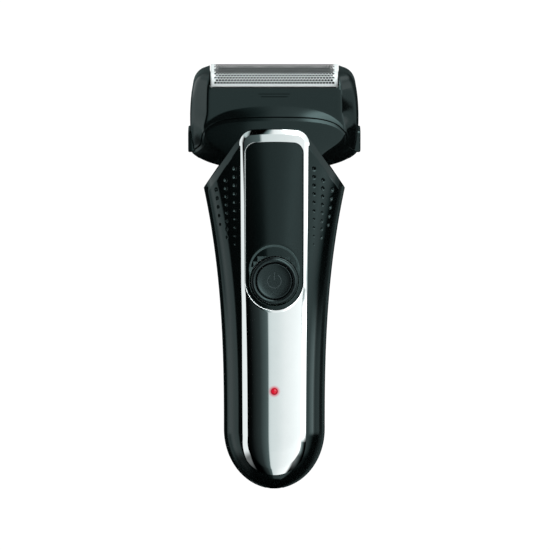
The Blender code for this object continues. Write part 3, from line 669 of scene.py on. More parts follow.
def fascia_loop(share):
    """The fascia's outline, moved inwards by this share of its rolled edge."""
    narrow, wide = roll_width(FASCIA_TOP) * share, roll_width(FASCIA_END_Z) * share
    corner = FASCIA_CORNER - narrow
    radius = FASCIA_END_RADIUS - wide
    side = lambda z: float(fascia_half(z)) - roll_width(z) * share
    low = []
    for i in range(STRAIGHT_STEPS):
        z = BUTTON_Z + (FASCIA_END_Z - BUTTON_Z) * i / STRAIGHT_STEPS
        low.append((side(z), z))
    for i in range(ARC_STEPS // 2 + 1):
        angle = -math.pi / 2 * i / (ARC_STEPS // 2)
        low.append((radius * math.cos(angle), FASCIA_END_Z + radius * math.sin(angle)))
    centre = (FASCIA_HALF - FASCIA_CORNER, FASCIA_TOP - FASCIA_CORNER)
    loop = whole_loop(half_loop(FASCIA_TOP - narrow, centre, corner, side, low))
    loop[:, 1] -= np.where(loop[:, 1] > 118, arch_drop(loop[:, 0]), 0) * smooth(loop[:, 1], 118, 127)
    return loop


def window_loop(outset):
    corner = WINDOW_CORNER + outset
    radius = WINDOW_HALF + outset
    low = []
    turn = math.radians(24)
    for i in range(STRAIGHT_STEPS):
        angle = -turn * i / STRAIGHT_STEPS
        low.append((radius * math.cos(angle), BUTTON_Z + radius * math.sin(angle)))
    for i in range(ARC_STEPS // 2 + 1):
        angle = -turn - (math.pi / 2 - turn) * i / (ARC_STEPS // 2)
        low.append((radius * math.cos(angle), BUTTON_Z + radius * math.sin(angle)))
    centre = (WINDOW_HALF - WINDOW_CORNER, WINDOW_TOP - WINDOW_CORNER)
    loop = whole_loop(half_loop(WINDOW_TOP + outset, centre, corner, lambda z: radius, low))
    loop[:, 1] -= np.where(loop[:, 1] > 112, arch_drop(loop[:, 0]), 0) * smooth(loop[:, 1], 114, 123)
    return loop


def circle_loop(radius_at):
    """A loop round the button, matched point by point to the window's loop."""
    upper = TOP_STEPS + CORNER_STEPS + SIDE_STEPS
    turn = math.radians(24)
    angles = [math.pi / 2 * (1 - i / upper) for i in range(upper)]
    angles += [-turn * i / STRAIGHT_STEPS for i in range(STRAIGHT_STEPS)]
    half = ARC_STEPS // 2
    angles += [-turn - (math.pi / 2 - turn) * i / half for i in range(half + 1)]
    right = [(radius_at(a) * math.cos(a), BUTTON_Z + radius_at(a) * math.sin(a)) for a in angles]
    return whole_loop(right)


def on_front(loop, offset):
    """A loop of (x, z) laid on the handle's front surface, offset outwards from it."""
    x, z = loop[:, 0], loop[:, 1]
    return np.stack([x, -front_surface(x, z) - offset, z], -1)


def make_fascia():
    edge, window = fascia_loop(0), window_loop(0)
    rows = [on_front(edge, -0.9)]
    for share in np.linspace(0, 1, 22):
        fall = FASCIA_FALL * (0.85 * (1 - share) + 0.15 * (1 - share) ** 2)
        low_end = np.clip((FASCIA_END_Z - edge[:, 1]) / FASCIA_END_RADIUS, 0, 1)
        rows.append(on_front(fascia_loop(share), FASCIA_PROUD - fall * (1 - 0.85 * low_end**2)))
    outer, inner = fascia_loop(1), window_loop(0.2)
    for t in np.linspace(0, 1, 58)[1:]:
        rows.append(on_front(outer + (inner - outer) * t, FASCIA_PROUD))
    for outset, fall in ((0.13, 0.02), (0.07, 0.07), (0.03, 0.15), (0.0, 0.28)):
        rows.append(on_front(window_loop(outset), FASCIA_PROUD - fall))
    rows.append(on_front(window, -0.9))
    fascia = sheet_piece("chrome_fascia_plate", rows, CHROME, ring=True, angle=40)
    hole = turned("lamp_hole", ((1.22, -20.0), (1.22, -5.0)), STEEL, (0, LED_Z), count=32)
    carve(fascia, [hole])
    place(fascia, "handle", "chrome_fascia")


def scoop_radius(angle):
    """Where the scoop's upper edge lies, seen from the button's centre; below, the recess itself."""
    lift = SCOOP_Z - BUTTON_Z
    along = lift * math.sin(angle)
    across = lift * math.cos(angle)
    far = along + math.sqrt(max(0.0, SCOOP_RADIUS**2 - across**2))
    return max(RECESS_RADIUS + 0.12, far)


def make_inlay():
    rim = window_loop(-0.1)
    crease = circle_loop(scoop_radius)
    recess = circle_loop(lambda a: RECESS_RADIUS)
    loops = [window_loop(-d) for d in (0.1, 0.14, 0.22)]
    start = loops[-1]
    loops += [start + (crease - start) * t for t in np.linspace(0, 1, 40)[1:]]
    rows = [on_front(rim, -0.8)]
    for i, loop in enumerate(loops):
        rows.append(on_front(loop, 0.18 - (0.10, 0.03)[i] if i < 2 else 0.18))
    crease_row = len(rows)
    depth = np.hypot(crease[:, 0] - recess[:, 0], crease[:, 1] - recess[:, 1])
    for t in np.linspace(0, 1, 12)[1:]:
        loop = crease + (recess - crease) * t
        row = on_front(loop, 0.18)
        row[:, 1] += 0.30 * depth * (t**1.15)
        rows.append(row)
    bottom = rows[-1].copy()
    bottom[:, 1] = -13.0
    rows.append(bottom)
    inlay = sheet_piece("gloss_inlay_panel", rows, INLAY_BLACK, ring=True, angle=20)
    inlay.data.materials.append(SCOOP_BLACK)
    columns = len(rim)
    for face in inlay.data.polygons:
        row = min(face.vertices) // columns
        height = np.mean([rows[row][v % columns][2] for v in face.vertices])
        if row >= crease_row - 1 and height > BUTTON_Z - 4:
            face.material_index = 1
    place(inlay, "handle", "gloss_inlay")


def make_button():
    centre = (0.0, BUTTON_Z)
    inner_turns, outer_turns = np.linspace(0.2, math.pi / 2, 8), np.linspace(0.1, math.pi / 2, 10)
    profile = [(6.62, -13.4), (6.62, -15.75), (6.68, -15.92)]
    profile += [(7.45 - 0.75 * math.cos(a), -15.92 - 0.50 * math.sin(a)) for a in inner_turns]
    profile += [(7.45 + 0.85 * math.sin(a), -15.72 - 0.70 * math.cos(a)) for a in outer_turns]
    profile += [(8.30, -15.2), (8.55, -15.1), (8.6, -13.4)]
    bezel = turned("button_bezel_ring", profile, BUTTON_BLACK, centre, count=128, hollow=True)
    place(bezel, "handle", "button_bezel")
    face = [(0.02, -15.82), (2.0, -15.83), (4.0, -15.87), (5.3, -15.93), (5.75, -16.0)]
    edge = [(6.0, -16.06), (6.2, -16.04), (6.34, -15.93), (6.42, -15.75), (6.44, -15.5)]
    edge += [(6.44, -13.9), (3.0, -13.9)]
    stem = [(1.7, -13.85), (1.7, -12.9), (0.4, -12.9)]
    button = turned("power_button_cap", face + edge + stem, BUTTON_BLACK, centre, count=128)
    place(button, "power_button", "power_button")
    place(make_power_mark(), "power_button")


def mark_strip(name, line, half, low, high):
    """A raised line with sloping sides, along (x, z) points on the button's face."""
    line = np.asarray(line, float)
    run = np.gradient(line, axis=0)
    run /= np.linalg.norm(run, axis=1, keepdims=True)
    across = np.stack([-run[:, 1], run[:, 0]], -1)
    rows = []
    for offset, y in ((-half, low), (-half * 0.62, high), (half * 0.62, high), (half, low)):
        edge = line + across * offset
        rows.append(np.stack([edge[:, 0], np.full(len(edge), y), edge[:, 1]], -1))
    grid = np.stack(rows, 0)
    points = grid.reshape(-1, 3)
    count = len(line)
    faces = grid_faces(4, count)
    faces += [(3 * count + c, 3 * count + c + 1, c + 1, c) for c in range(count - 1)]
    faces += [(0, count, 2 * count, 3 * count), (count - 1, 4 * count - 1, 3 * count - 1, 2 * count - 1)]
    return outward(make_piece(name, points, faces, MARK_BLACK))


def make_power_mark():
    """The usual on-off mark: a broken ring and a bar, raised a little."""
    turns = np.linspace(math.radians(122), math.radians(418), 72)
    ring = [(2.45 * math.cos(a), BUTTON_Z + 2.45 * math.sin(a)) for a in turns]
    mark = mark_strip("power_mark_ring", ring, 0.26, -15.78, -15.97)
    bar = mark_strip("power_mark_bar", [(0, BUTTON_Z + z) for z in (0.3, 1.6, 3.2)], 0.26, -15.78, -15.97)
    bar.parent = mark
    return mark


def make_lamp():
    top = -16.08
    profile = [(0.02, top), (0.4, top + 0.02), (0.75, top + 0.09), (0.98, top + 0.22), (1.1, top + 0.42)]
    profile += [(1.1, -12.4), (1.6, -12.35), (1.6, -10.8)]
    lamp = turned("lamp_light_pipe", profile, LAMP, (0, LED_Z), count=48)
    place(lamp, "handle", "led_light_pipe")


# ---- head --------------------------------------------------------------------------------------------------

HEAD_TABLE = np.array(  # v, half width, half depth, half width of the flat front, half depth of the flat side
    (
        (-1.8, 17.0, 9.0, 11.0, 5.0),
        (-1.2, 20.5, 10.2, 12.0, 5.0),
        (-0.4, 23.6, 11.2, 13.2, 5.0),
        (1.0, 27.0, 12.2, 14.4, 5.0),
        (2.6, 29.4, 13.0, 15.6, 5.2),
        (4.4, 30.2, 13.5, 17.0, 5.4),
        (10.0, 30.2, 13.5, 24.0, 6.0),
        (20.5, 30.15, 13.5, 24.1, 6.0),
        (22.8, 29.95, 13.5, 24.1, 6.0),
        (27.0, 29.3, 13.4, 24.0, 6.0),
        (29.0, 28.9, 13.1, 23.9, 6.0),
        (30.6, 28.2, 12.3, 23.7, 5.8),
        (32.0, 27.0, 10.9, 23.4, 5.4),
        (32.6, 26.0, 9.9, 23.2, 5.0),
        (32.9, 25.0, 9.0, 22.6, 4.4),
    )
)


def head_sizes(v):
    """The outline's four sizes at a height, on smooth curves through the table."""
    table = HEAD_TABLE
    heights = table[:, 0]
    slopes = np.gradient(table[:, 1:], heights, axis=0)
    v = float(np.clip(v, heights[0], heights[-1]))
    i = int(np.clip(np.searchsorted(heights, v) - 1, 0, len(heights) - 2))
    span = heights[i + 1] - heights[i]
    t = (v - heights[i]) / span
    h = (2 * t**3 - 3 * t**2 + 1, t**3 - 2 * t**2 + t, -2 * t**3 + 3 * t**2, t**3 - t**2)
    smooth_way = h[0] * table[i, 1:] + h[1] * span * slopes[i]
    smooth_way = smooth_way + h[2] * table[i + 1, 1:] + h[3] * span * slopes[i + 1]
    straight = table[i, 1:] * (1 - t) + table[i + 1, 1:] * t
    return np.where(np.abs(table[i + 1, 1:] - table[i, 1:]) < 0.02, straight, smooth_way)


FRONT_STEPS, SLANT_STEPS, SIDE_FACE_STEPS, ROUND_STEPS = 44, 12, 12, 7
CREASE_RADIUS, SIDE_RADIUS = 1.1, 8.0


def octagon(wide, deep, flat, side):
    corners = [(flat, -deep), (wide, -side), (wide, side), (flat, deep)]
    corners += [(-x, u) for x, u in reversed(corners)]
    return np.array(corners, float)


def head_outline(v, inset=0.0):
    """A closed (x, u) outline at a height: eight faces with rounded corners, and always as many points."""
    wide, deep, flat, side = head_sizes(v)
    wide, deep = wide - inset, deep - inset
    flat, side = flat - inset * 0.35, side - inset * 0.2
    corners = octagon(wide, deep, flat, side)
    radii = [CREASE_RADIUS, SIDE_RADIUS, SIDE_RADIUS, CREASE_RADIUS] * 2
    steps = [SLANT_STEPS, SIDE_FACE_STEPS, SLANT_STEPS, FRONT_STEPS] * 2
    count = len(corners)
    arcs = []
    for i in range(count):
        here = corners[i]
        back, ahead = corners[i - 1] - here, corners[(i + 1) % count] - here
        back, ahead = back / np.linalg.norm(back), ahead / np.linalg.norm(ahead)
        half = math.acos(float(np.clip(back @ ahead, -1, 1))) / 2
        reach = radii[i] / math.tan(half)
        start, end = here + back * reach, here + ahead * reach
        middle = here + (back + ahead) / np.linalg.norm(back + ahead) * radii[i] / math.sin(half)
        a0 = math.atan2(*(start - middle)[::-1])
        a1 = math.atan2(*(end - middle)[::-1])
        a1 = a0 + (a1 - a0 + math.pi) % (2 * math.pi) - math.pi
        turns = np.linspace(a0, a1, ROUND_STEPS)
        arcs.append([middle + radii[i] * np.array([math.cos(a), math.sin(a)]) for a in turns])
    points = []
    for i in range(count):
        points += arcs[i]
        start, end = arcs[i][-1], arcs[(i + 1) % count][0]
        points += [start + (end - start) * k / steps[i] for k in range(1, steps[i])]
    return np.array(points)


def seam_height(x):
    x = np.abs(x)
    share = np.minimum(1.0, (x / SEAM_BEND) ** 2)
    arch = SEAM_MIDDLE - 0.9 * share - 1.55 * share**3
    bend = np.clip(x - SEAM_BEND, 0.0, SEAM_END - SEAM_BEND)
    return arch - 0.53 * bend - 0.153 * bend**2 - 1.48 * np.clip(x - SEAM_END, 0.0, None)


def band_height(x):
    """The height of the flared band above the seam: tall in front, narrow on the slanted corners."""
    share = np.minimum(1.0, (np.abs(x) / 22.0) ** 2)
    return BAND_HEIGHT - 1.7 * share - 1.0 * smooth(np.abs(x), 23.3, 24.5)


def outline_normals(outline):
    run = np.roll(outline, -1, axis=0) - np.roll(outline, 1, axis=0)
    normal = np.stack([run[:, 1], -run[:, 0]], -1)
    return normal / np.linalg.norm(normal, axis=1, keepdims=True)


def head_row(heights, flare, inset=0.0):
    """One row round the head, each point at its own height, pushed out by its own flare."""
    cache = {}
    row = np.empty((len(heights), 3))
    for i, v in enumerate(heights):
        key = round(float(v), 3)
        if key not in cache:
            outline = head_outline(key, inset)
            cache[key] = (outline, outline_normals(outline))
        outline, normals = cache[key]
        push = flare[i] * abs(normals[i][1]) * (REAR_FLARE if outline[i][1] > 0 else 1.0)
        row[i] = (outline[i][0] + normals[i][0] * push, outline[i][1] + normals[i][1] * push, v)
    return row


def full_flare(x):
    share = np.clip(np.abs(x) / 24.0, 0, 1)
    return BAND_FLARE - (BAND_FLARE - CORNER_FLARE) * share**2


def band_flare(x, v):
    rise = np.clip((seam_height(x) + band_height(x) - v) / band_height(x), 0, 1)
    return full_flare(x) * rise**1.3


def rounded_opening(name):
    """A cutter right through the frame, from front to rear, with its two lower corners rounded."""
    turns = np.linspace(math.pi, 1.5 * math.pi, 7)
    half, radius = OPENING_HALF, OPENING_CORNER
    across, up = radius - half, RIM_LOW + radius
    left = [(-half, 50.0)] + [(across + radius * math.cos(a), up + radius * math.sin(a)) for a in turns]
    outline = left + [(-x, v) for x, v in reversed(left)]
    rows = [[(x, u, v) for x, v in outline] for u in (-30.0, 30.0)]
    return outward(sheet_piece(name, lean(np.array(rows)), STEEL, ring=True, caps=(0, -1)))


def make_foil_frame():
    xs = head_outline(20.0)[:, 0]
    low = seam_height(xs) + 0.12
    crease = seam_height(xs) + band_height(xs)
    top = HEAD_TABLE[-1, 0]
    rows = [head_row(low, band_flare(xs, low) - 0.22), head_row(low + 0.06, band_flare(xs, low) - 0.08)]
    for t in np.linspace(0, 1, 15):
        v = low + 0.18 + (crease - low - 0.18) * t
        rows.append(head_row(v, band_flare(xs, v)))
    none = np.zeros(len(xs))
    for t in np.linspace(0, 1, 12)[1:]:
        rows.append(head_row(crease + (28.0 - crease) * t, none))
    for v in (28.6, 29.2, 29.8, 30.4, 31.0, 31.5, 31.9, 32.2, 32.45, 32.65, 32.8, top):
        rows.append(head_row(np.full(len(xs), v), none))
    inner = [head_row(low, none, 1.7)]
    for share in (0.3, 0.7):
        inner.append(head_row(low + (24.0 - low) * share, none, 1.7))
    inner.append(head_row(np.full(len(xs), 27.2), none, 1.8))
    grid = lean(np.array(inner[::-1] + rows))
    shell = outward(sheet_piece("foil_frame_shell", grid, HEAD_BLACK, ring=True, caps=(0, -1)))
    carve(shell, [
        block("well", (-OPENING_HALF, -OPENING_DEPTH, 20), (OPENING_HALF, OPENING_DEPTH, 50), True),
        rounded_opening("opening"),
        block("bay_right", (26.0, -5.3, -5), (40, 5.3, 11.85), True),
        block("bay_left", (-40.0, -5.3, -5), (-26, 5.3, 11.85), True),
        block("upper_groove", (-5.6, -15, 26.70), (5.6, -12.7, 27.08), True),
        block("lower_groove", (-4.8, -15, 25.70), (4.8, -12.7, 26.08), True),
    ])
    # The rim's level top faces in the opening take the dark look: painted shade for the gap under the foils.
    shell.data.materials.append(INNER_BLACK_AND_PAINTED_SHADE)
    up = Vector((0, -math.sin(HEAD_TILT), math.cos(HEAD_TILT)))
    for face in shell.data.polygons:
        inside = abs(face.center.x) < OPENING_HALF * MM and face.center.z > RIM_TOP_Z * MM
        if face.normal.dot(up) > 0.99 and inside:
            face.material_index = 1
    place(shell, "foil_frame", "foil_frame")


def make_head_base():
    xs = head_outline(10.0)[:, 0]
    high = seam_height(xs) - 0.12
    none = np.zeros(len(xs))
    rows = []
    for t in np.linspace(0, 1, 60):
        v = -1.8 + (high - 0.25 + 1.8) * t ** 0.8
        chamfer = 0.36 * np.clip(1.3 - high + v, 0, 1.3)
        rows.append(head_row(v, full_flare(xs) * smooth(v, -1.0, 6.0) - chamfer))
    flare = full_flare(xs) * smooth(high, -1.0, 6.0) - 0.45
    rows += [head_row(high - 0.15, flare), head_row(high - 0.05, flare - 0.10), head_row(high, flare - 0.3)]
    rows.append(head_row(high, none, 1.7))
    floor = np.full(len(xs), 1.4)
    rows.append(head_row(np.maximum(floor, high - 6), none, 1.7))
    inner = head_row(floor + 3, none, 2.2)
    inner[:, 2] = 1.4
    rows.append(inner)
    shell = outward(sheet_piece("head_base_shell", lean(np.array(rows)), HEAD_BLACK, ring=True, caps=(0, -1)))
    place(shell, "handle", "head_base")
    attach(make_collar(), "handle")
    neck = make_neck()
    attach(neck, "handle")


def eight_sided(name, levels, look):
    """An upright shell through (outline, height) levels."""
    rows = [[(x, u, v) for x, u in outline] for outline, v in levels]
    return outward(sheet_piece(name, lean(np.array(rows)), look, ring=True))


def make_collar():
    """The upright wall that the foil frame slips over."""
    outer, inner = octagon(24.6, 10.6, 14.0, 4.8), octagon(23.2, 9.3, 13.4, 4.2)
    low, edge, high = 0.9, 19.4 - 0.2, 19.4
    levels = [(outer, low), (outer, edge), (outer * 0.995, high)]
    levels += [(inner * 1.005, high), (inner, edge), (inner, low), (outer, low)]
    return eight_sided("head_collar", levels, HEAD_BLACK)


def make_neck():
    """The dark, narrower ring under the head."""
    foot, top = octagon(21.5, 8.5, 12.0, 3.4), octagon(18.6, 9.4, 11.6, 4.6)
    return eight_sided("neck_skirt", [(foot, -10.5), (top, -3.2), (top * 0.96, -1.7)], INNER_BLACK_AND_PAINTED_SHADE)


def rounded_rectangle(half_a, half_b, corner):
    """Points round a rectangle with rounded corners."""
    outline = []
    for a, b, start in ((1, 1, 0), (-1, 1, 90), (-1, -1, 180), (1, -1, 270)):
        for turn in np.radians(np.linspace(start, start + 90, 7)):
            along = a * (half_a - corner) + corner * math.cos(turn)
            outline.append((along, b * (half_b - corner) + corner * math.sin(turn)))
    return outline


def make_release_buttons():
    for side, name in ((-1, "left"), (1, "right")):
        rows = []
        for inset, t in ((0.8, 31.0), (0.3, 30.95), (0.05, 30.7), (0.0, 30.3), (0.0, 28.9)):
            outline = rounded_rectangle(5.0 - inset, 4.0 - inset, 0.9)
            rows.append([(side * t, a, b + RELEASE_V) for a, b in outline])
        grid = lean(np.array(rows))
        cap = sheet_piece(f"release_cap_{name}", grid, GLOSS_BLACK, ring=True, caps=(0, -1), angle=50)
        outward(cap)
        grooves = []
        for v in (5.2, 6.4, 7.6, 8.8, 10.0):
            a, b = sorted((side * 30.75, side * 33))
            grooves.append(block("groove", (a, -3.6, v - 0.22), (b, 3.6, v + 0.22), True))
        carve(cap, grooves)
        place(cap, f"release_button_{name}", f"release_button_{name}")
        low, high = sorted((side * 26.9, side * 29.5))
        stem = turned(f"release_stem_{name}", ((1.6, low), (1.6, high)), HEAD_BLACK, (0, 0), "x", 24)
        points = np.array([v.co[:] for v in stem.data.vertices]) / MM
        points[:, 2] += RELEASE_V
        for vertex, point in zip(stem.data.vertices, lean(points)):
            vertex.co = Vector(point) * MM
        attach(stem, f"release_button_{name}")


# ---- foils and cutters -------------------------------------------------------------------------------------

HOLE_PITCH_X, HOLE_PITCH_S = 1.08, 0.90
HOLE_SHARE = 0.83  # of the pitch
DIAGONAL_SHARE = 0.92  # the same, across the hole's corners
HOLES_ACROSS = 40
FOIL_SHEET = 0.045  # the visual sheet's thickness
PATTERN_EDGE = math.radians(-4)  # from the horizontal, where the holes stop
CROWN_FROM = 0.42  # share of the rows before the crown's painted shade begins
BLADES = 34
WELL_HALF, WELL_TOP = 1.3, 28.7  # the hollow in each cutter for its post


def foil_place(line):
    radius = MIDDLE_FOIL_RADIUS if line == "middle" else OUTER_FOIL_RADIUS
    return FOIL_PITCH * (LINES.index(line) - 1), radius


def foil_point(u, radius, angle, x):
    """A point by its angle from the front horizontal: on the arch, or on the straight skirt below it."""
    turn = min(max(angle, 0.0), math.pi)
    drop = radius * max(-angle, angle - math.pi, 0.0)
    return (x, u - radius * math.cos(turn), FOIL_TOP - radius + radius * math.sin(turn) - drop)


CELL = ((0, 0), (0.5, 0), (1, 0), (1, 0.5), (1, 1), (0.5, 1), (0, 1), (0, 0.5))


def make_foil(line):
    """A thin arched sheet with staggered holes over the top, and plain skirts and ends."""
    u, radius = foil_place(line)
    span = math.pi - 2 * PATTERN_EDGE
    rows = round(radius * span / HOLE_PITCH_S)
    step = span / rows
    edge = HOLES_ACROSS * HOLE_PITCH_X / 2
    points, faces, known = [], [], {}

    def vertex(x, angle):
        key = (round(x, 4), round(angle, 5))
        if key not in known:
            known[key] = len(points)
            points.append(foil_point(u, radius, angle, x))
        return known[key]

    # The crown's rows take the painted shade look.
    crown = []
    crown_rows = (round(rows * CROWN_FROM) if line == "front" else 0, rows - round(rows * CROWN_FROM))
    for r in range(rows):
        if r in crown_rows:
            crown.append(len(faces))
        shift = 0.5 if r % 2 else 0.0
        for c in range(HOLES_ACROSS - (1 if r % 2 else 0)):
            x0 = -edge + (c + shift) * HOLE_PITCH_X
            a0 = PATTERN_EDGE + r * step
            outer = [vertex(x0 + i * HOLE_PITCH_X, a0 + j * step) for i, j in CELL]
            inner = []
            for i, j in CELL:
                turn = math.atan2(j - 0.5, i - 0.5)
                reach = (HOLE_SHARE if 0.5 in (i, j) else DIAGONAL_SHARE) / 2
                x = x0 + (0.5 + reach * math.cos(turn)) * HOLE_PITCH_X
                angle = a0 + (0.5 + reach * math.sin(turn)) * step
                inner.append(len(points))
                points.append(foil_point(u, radius, angle, x))
            for k in range(8):
                m = (k + 1) % 8
                faces.append((outer[k], outer[m], inner[m], inner[k]))
    lattice = len(faces)
    for r in range(rows):
        a0 = PATTERN_EDGE + r * step
        inside = edge - (HOLE_PITCH_X / 2 if r % 2 else 0.0)
        for side in (-1, 1):
            xs = [side * inside]
            if r % 2:
                xs.append(side * edge)
            xs += [side * (edge + (FOIL_HALF - edge) * t) for t in (0.5, 1.0)]
            for a, b in zip(xs, xs[1:]):
                mid_a = [vertex(a, a0 + step / 2)] if abs(abs(a) - inside) < 1e-6 else []
                quad = (a, a0), (b, a0), (b, a0 + step), (a, a0 + step)
                faces.append(tuple([vertex(x, angle) for x, angle in quad] + mid_a))
    half_steps = [-edge + HOLE_PITCH_X / 2 * i for i in range(2 * HOLES_ACROSS + 1)]
    ends = [edge + (FOIL_HALF - edge) * t for t in (0.5, 1.0)]
    xs = [-x for x in reversed(ends)] + half_steps + ends
    for start, sign in ((PATTERN_EDGE, -1), (math.pi - PATTERN_EDGE, 1)):
        upper = [vertex(x, start) for x in xs]
        for v in (FOIL_TOP - radius - 2.0, FOIL_LOW):
            lower = []
            for x in xs:
                lower.append(len(points))
                points.append((x, u + sign * radius, v))
            for k in range(len(xs) - 1):
                faces.append((upper[k], upper[k + 1], lower[k + 1], lower[k]))
            upper = lower
    foil = make_piece(f"{line}_foil_sheet", lean(points), faces, LATTICE_STEEL, 40)
    for look in (FOIL_STEEL, CROWN_PAINTED_SHADE, INNER_BLACK_AND_PAINTED_SHADE):
        foil.data.materials.append(look)
    for face in foil.data.polygons:
        face.material_index = 1 if face.index >= lattice else 2 if crown[0] <= face.index < crown[1] else 0
    outward(foil)
    centre = lean([(0, u, FOIL_TOP - radius - 3)])[0]
    face = foil.data.polygons[0]
    if (face.center / MM - Vector(centre)).dot(face.normal) < 0:
        foil.data.flip_normals()
    thick = foil.modifiers.new("sheet", "SOLIDIFY")
    thick.thickness = FOIL_SHEET * MM
    thick.offset = -1.0
    thick.material_offset = 3  # the inside and the holes' edges take the last look: dark plastic as painted shade
    thick.material_offset_rim = 3
    place(foil, f"{line}_foil", f"{line}_foil")


def make_cutter(line):
    """A row of thin arched blades on a carrier bar."""
    u, radius = foil_place(line)
    arch = radius - FOIL_THICK - CUTTER_GAP
    centre = FOIL_TOP - radius
    points, faces = [], []

    def slab(outline, x0, x1):
        start = len(points)
        count = len(outline)
        for x in (x0, x1):
            points.extend((x, u + a, b) for a, b in outline)
        faces.append(tuple(range(start, start + count)))
        faces.append(tuple(range(start + 2 * count - 1, start + count - 1, -1)))
        for k in range(count):
            m = (k + 1) % count
            faces.append((start + k, start + count + k, start + count + m, start + m))

    turns = [math.pi * i / 16 for i in range(17)]
    low, well = centre - 2.2, max(centre - 2.2, WELL_TOP)
    blade = [(arch * math.cos(a), centre + arch * math.sin(a)) for a in turns]
    for i in range(BLADES):
        x = -19.9 + 39.8 * i / (BLADES - 1)
        end = low if abs(x) > WELL_HALF + 0.2 else well
        slab(blade + [(-arch, end), (arch, end)], x - 0.16, x + 0.16)
    inner = arch - 0.45
    core = [(inner * math.cos(a), centre + inner * math.sin(a)) for a in turns]
    for x0, x1, end in ((-20.1, -WELL_HALF, low), (-WELL_HALF, WELL_HALF, well), (WELL_HALF, 20.1, low)):
        slab(core + [(-inner, end), (inner, end)], x0, x1)
    for x0, x1 in ((-20.2, -WELL_HALF), (WELL_HALF, 20.2)):
        slab([(arch, 25.0), (arch, centre - 2.0), (-arch, centre - 2.0), (-arch, 25.0)], x0, x1)
    cutter = outward(make_piece(f"{line}_cutter_blades", lean(points), faces, CUTTER_STEEL_PAINTED_SHADE))
    place(cutter, f"{line}_cutter", f"{line}_cutter")


def make_coil(name, body, radius, low, high, turns, wire, point_at):
    """A coil spring; point_at turns (a, b, along) into a point."""
    rows = []
    for i in range(int(turns * 20) + 1):
        share = i / (turns * 20)
        angle = 2 * math.pi * turns * share
        row = []
        for k in range(8):
            a = 2 * math.pi * k / 8
            out = radius + wire / 2 * math.cos(a)
            along = low + (high - low) * share + wire / 2 * math.sin(a)
            row.append(point_at(out * math.cos(angle), out * math.sin(angle), along))
        rows.append(row)
    grid = lean(np.array(rows))
    coil = outward(sheet_piece(f"{name}_coil", grid, STEEL, ring=True, caps=(0, -1), angle=60))
    place(coil, body, name)
    base, tip = (Vector(lean([point_at(0, 0, along)])[0]) for along in (low - wire / 2, high))
    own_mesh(coil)


def make_springs():
    for line in LINES:
        u, _ = foil_place(line)
        radius = 1.4 if line == "middle" else 2.0
        name, joint = f"{line}_cutter_spring", f"{line}_cutter_float"
        point_at = lambda a, b, t, u=u: (a, u + b, t)
        make_coil(name, "oscillator", radius, 18.2, 24.4, 4, 0.5, point_at)
    for side, hand in ((-1, "left"), (1, "right")):
        name, joint = f"release_spring_{hand}", f"release_{hand}_press"
        point_at = lambda a, b, t, side=side: (side * t, a, b + RELEASE_V)
        make_coil(name, "handle", 2.3, 25.6, 28.4, 2.5, 0.4, point_at)


def make_flexures():
    """The leaf springs the cutter bridge swings on."""
    for side, name in ((-1, "flexure_left"), (1, "flexure_right")):
        rows = []
        for v in np.linspace(1.6, 5.6, 17):
            rows.append([(side * x, u, v) for x, u in ((14.4, -6.0), (14.9, -6.0), (14.9, 6.0), (14.4, 6.0))])
        leaf = outward(sheet_piece(f"{name}_leaf", lean(np.array(rows)), STEEL, ring=True, caps=(0, -1)))
        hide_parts(name)
        foot, tip = lean([(side * 14.65, 0, 1.7), (side * 14.65, 0, 3.3)]) * MM
        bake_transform(leaf)


# ---- the CAD nodes that stay -------------------------------------------------------------------------------


def dress_cad_nodes():
    """A look for every CAD node; the ones that a piece replaces don't show."""
    looks = {
        "circuit_board": BOARD,
        "battery_cell": WRAP,
        "motor_lead_red": LEAD_RED,
        "charge_led": LAMP,
        "socket_pin": BRASS,
        "motor_bush": BRASS,
        "charging_socket": BUTTON_BLACK,
    }
    for names, look in (
        (("tact_switch", "inner_chassis", "motor_end_bell", "eccentric_cam", "oscillator_bridge"), NYLON),
        (("foil_cassette",), INNER_BLACK_AND_PAINTED_SHADE),
        (("switch_plunger", "motor_lead_black", "neck_seal"), RUBBER),
    ):
        looks.update({name: look for name in names})
    for name, node in NODES.items():
        node.data.materials.clear()
        node.data.materials.append(looks.get(name, STEEL))


# ---- studio ------------------------------------------------------------------------------------------------


def aim(thing, target):
    way = Vector(target) - thing.location
    thing.rotation_euler = way.to_track_quat("-Z", "Y").to_euler()


def softbox(name, azimuth, height, distance, size, brightness):
    """A flat light facing the shaver; azimuth 0 is the camera's side, growing to the camera's right."""
    data = bpy.data.lights.new(name, "AREA")
    data.shape = "RECTANGLE"
    data.size, data.size_y = size
    data.energy = brightness * size[0] * size[1] * math.pi
    light = bpy.data.objects.new(name, data)
    SCENE.collection.objects.link(light)
    angle = math.radians(azimuth)
    light.location = (distance * math.sin(angle), -distance * math.cos(angle), height)
    aim(light, (0, 0, height))
    light.visible_camera = False
    light.visible_glossy = False
    return light


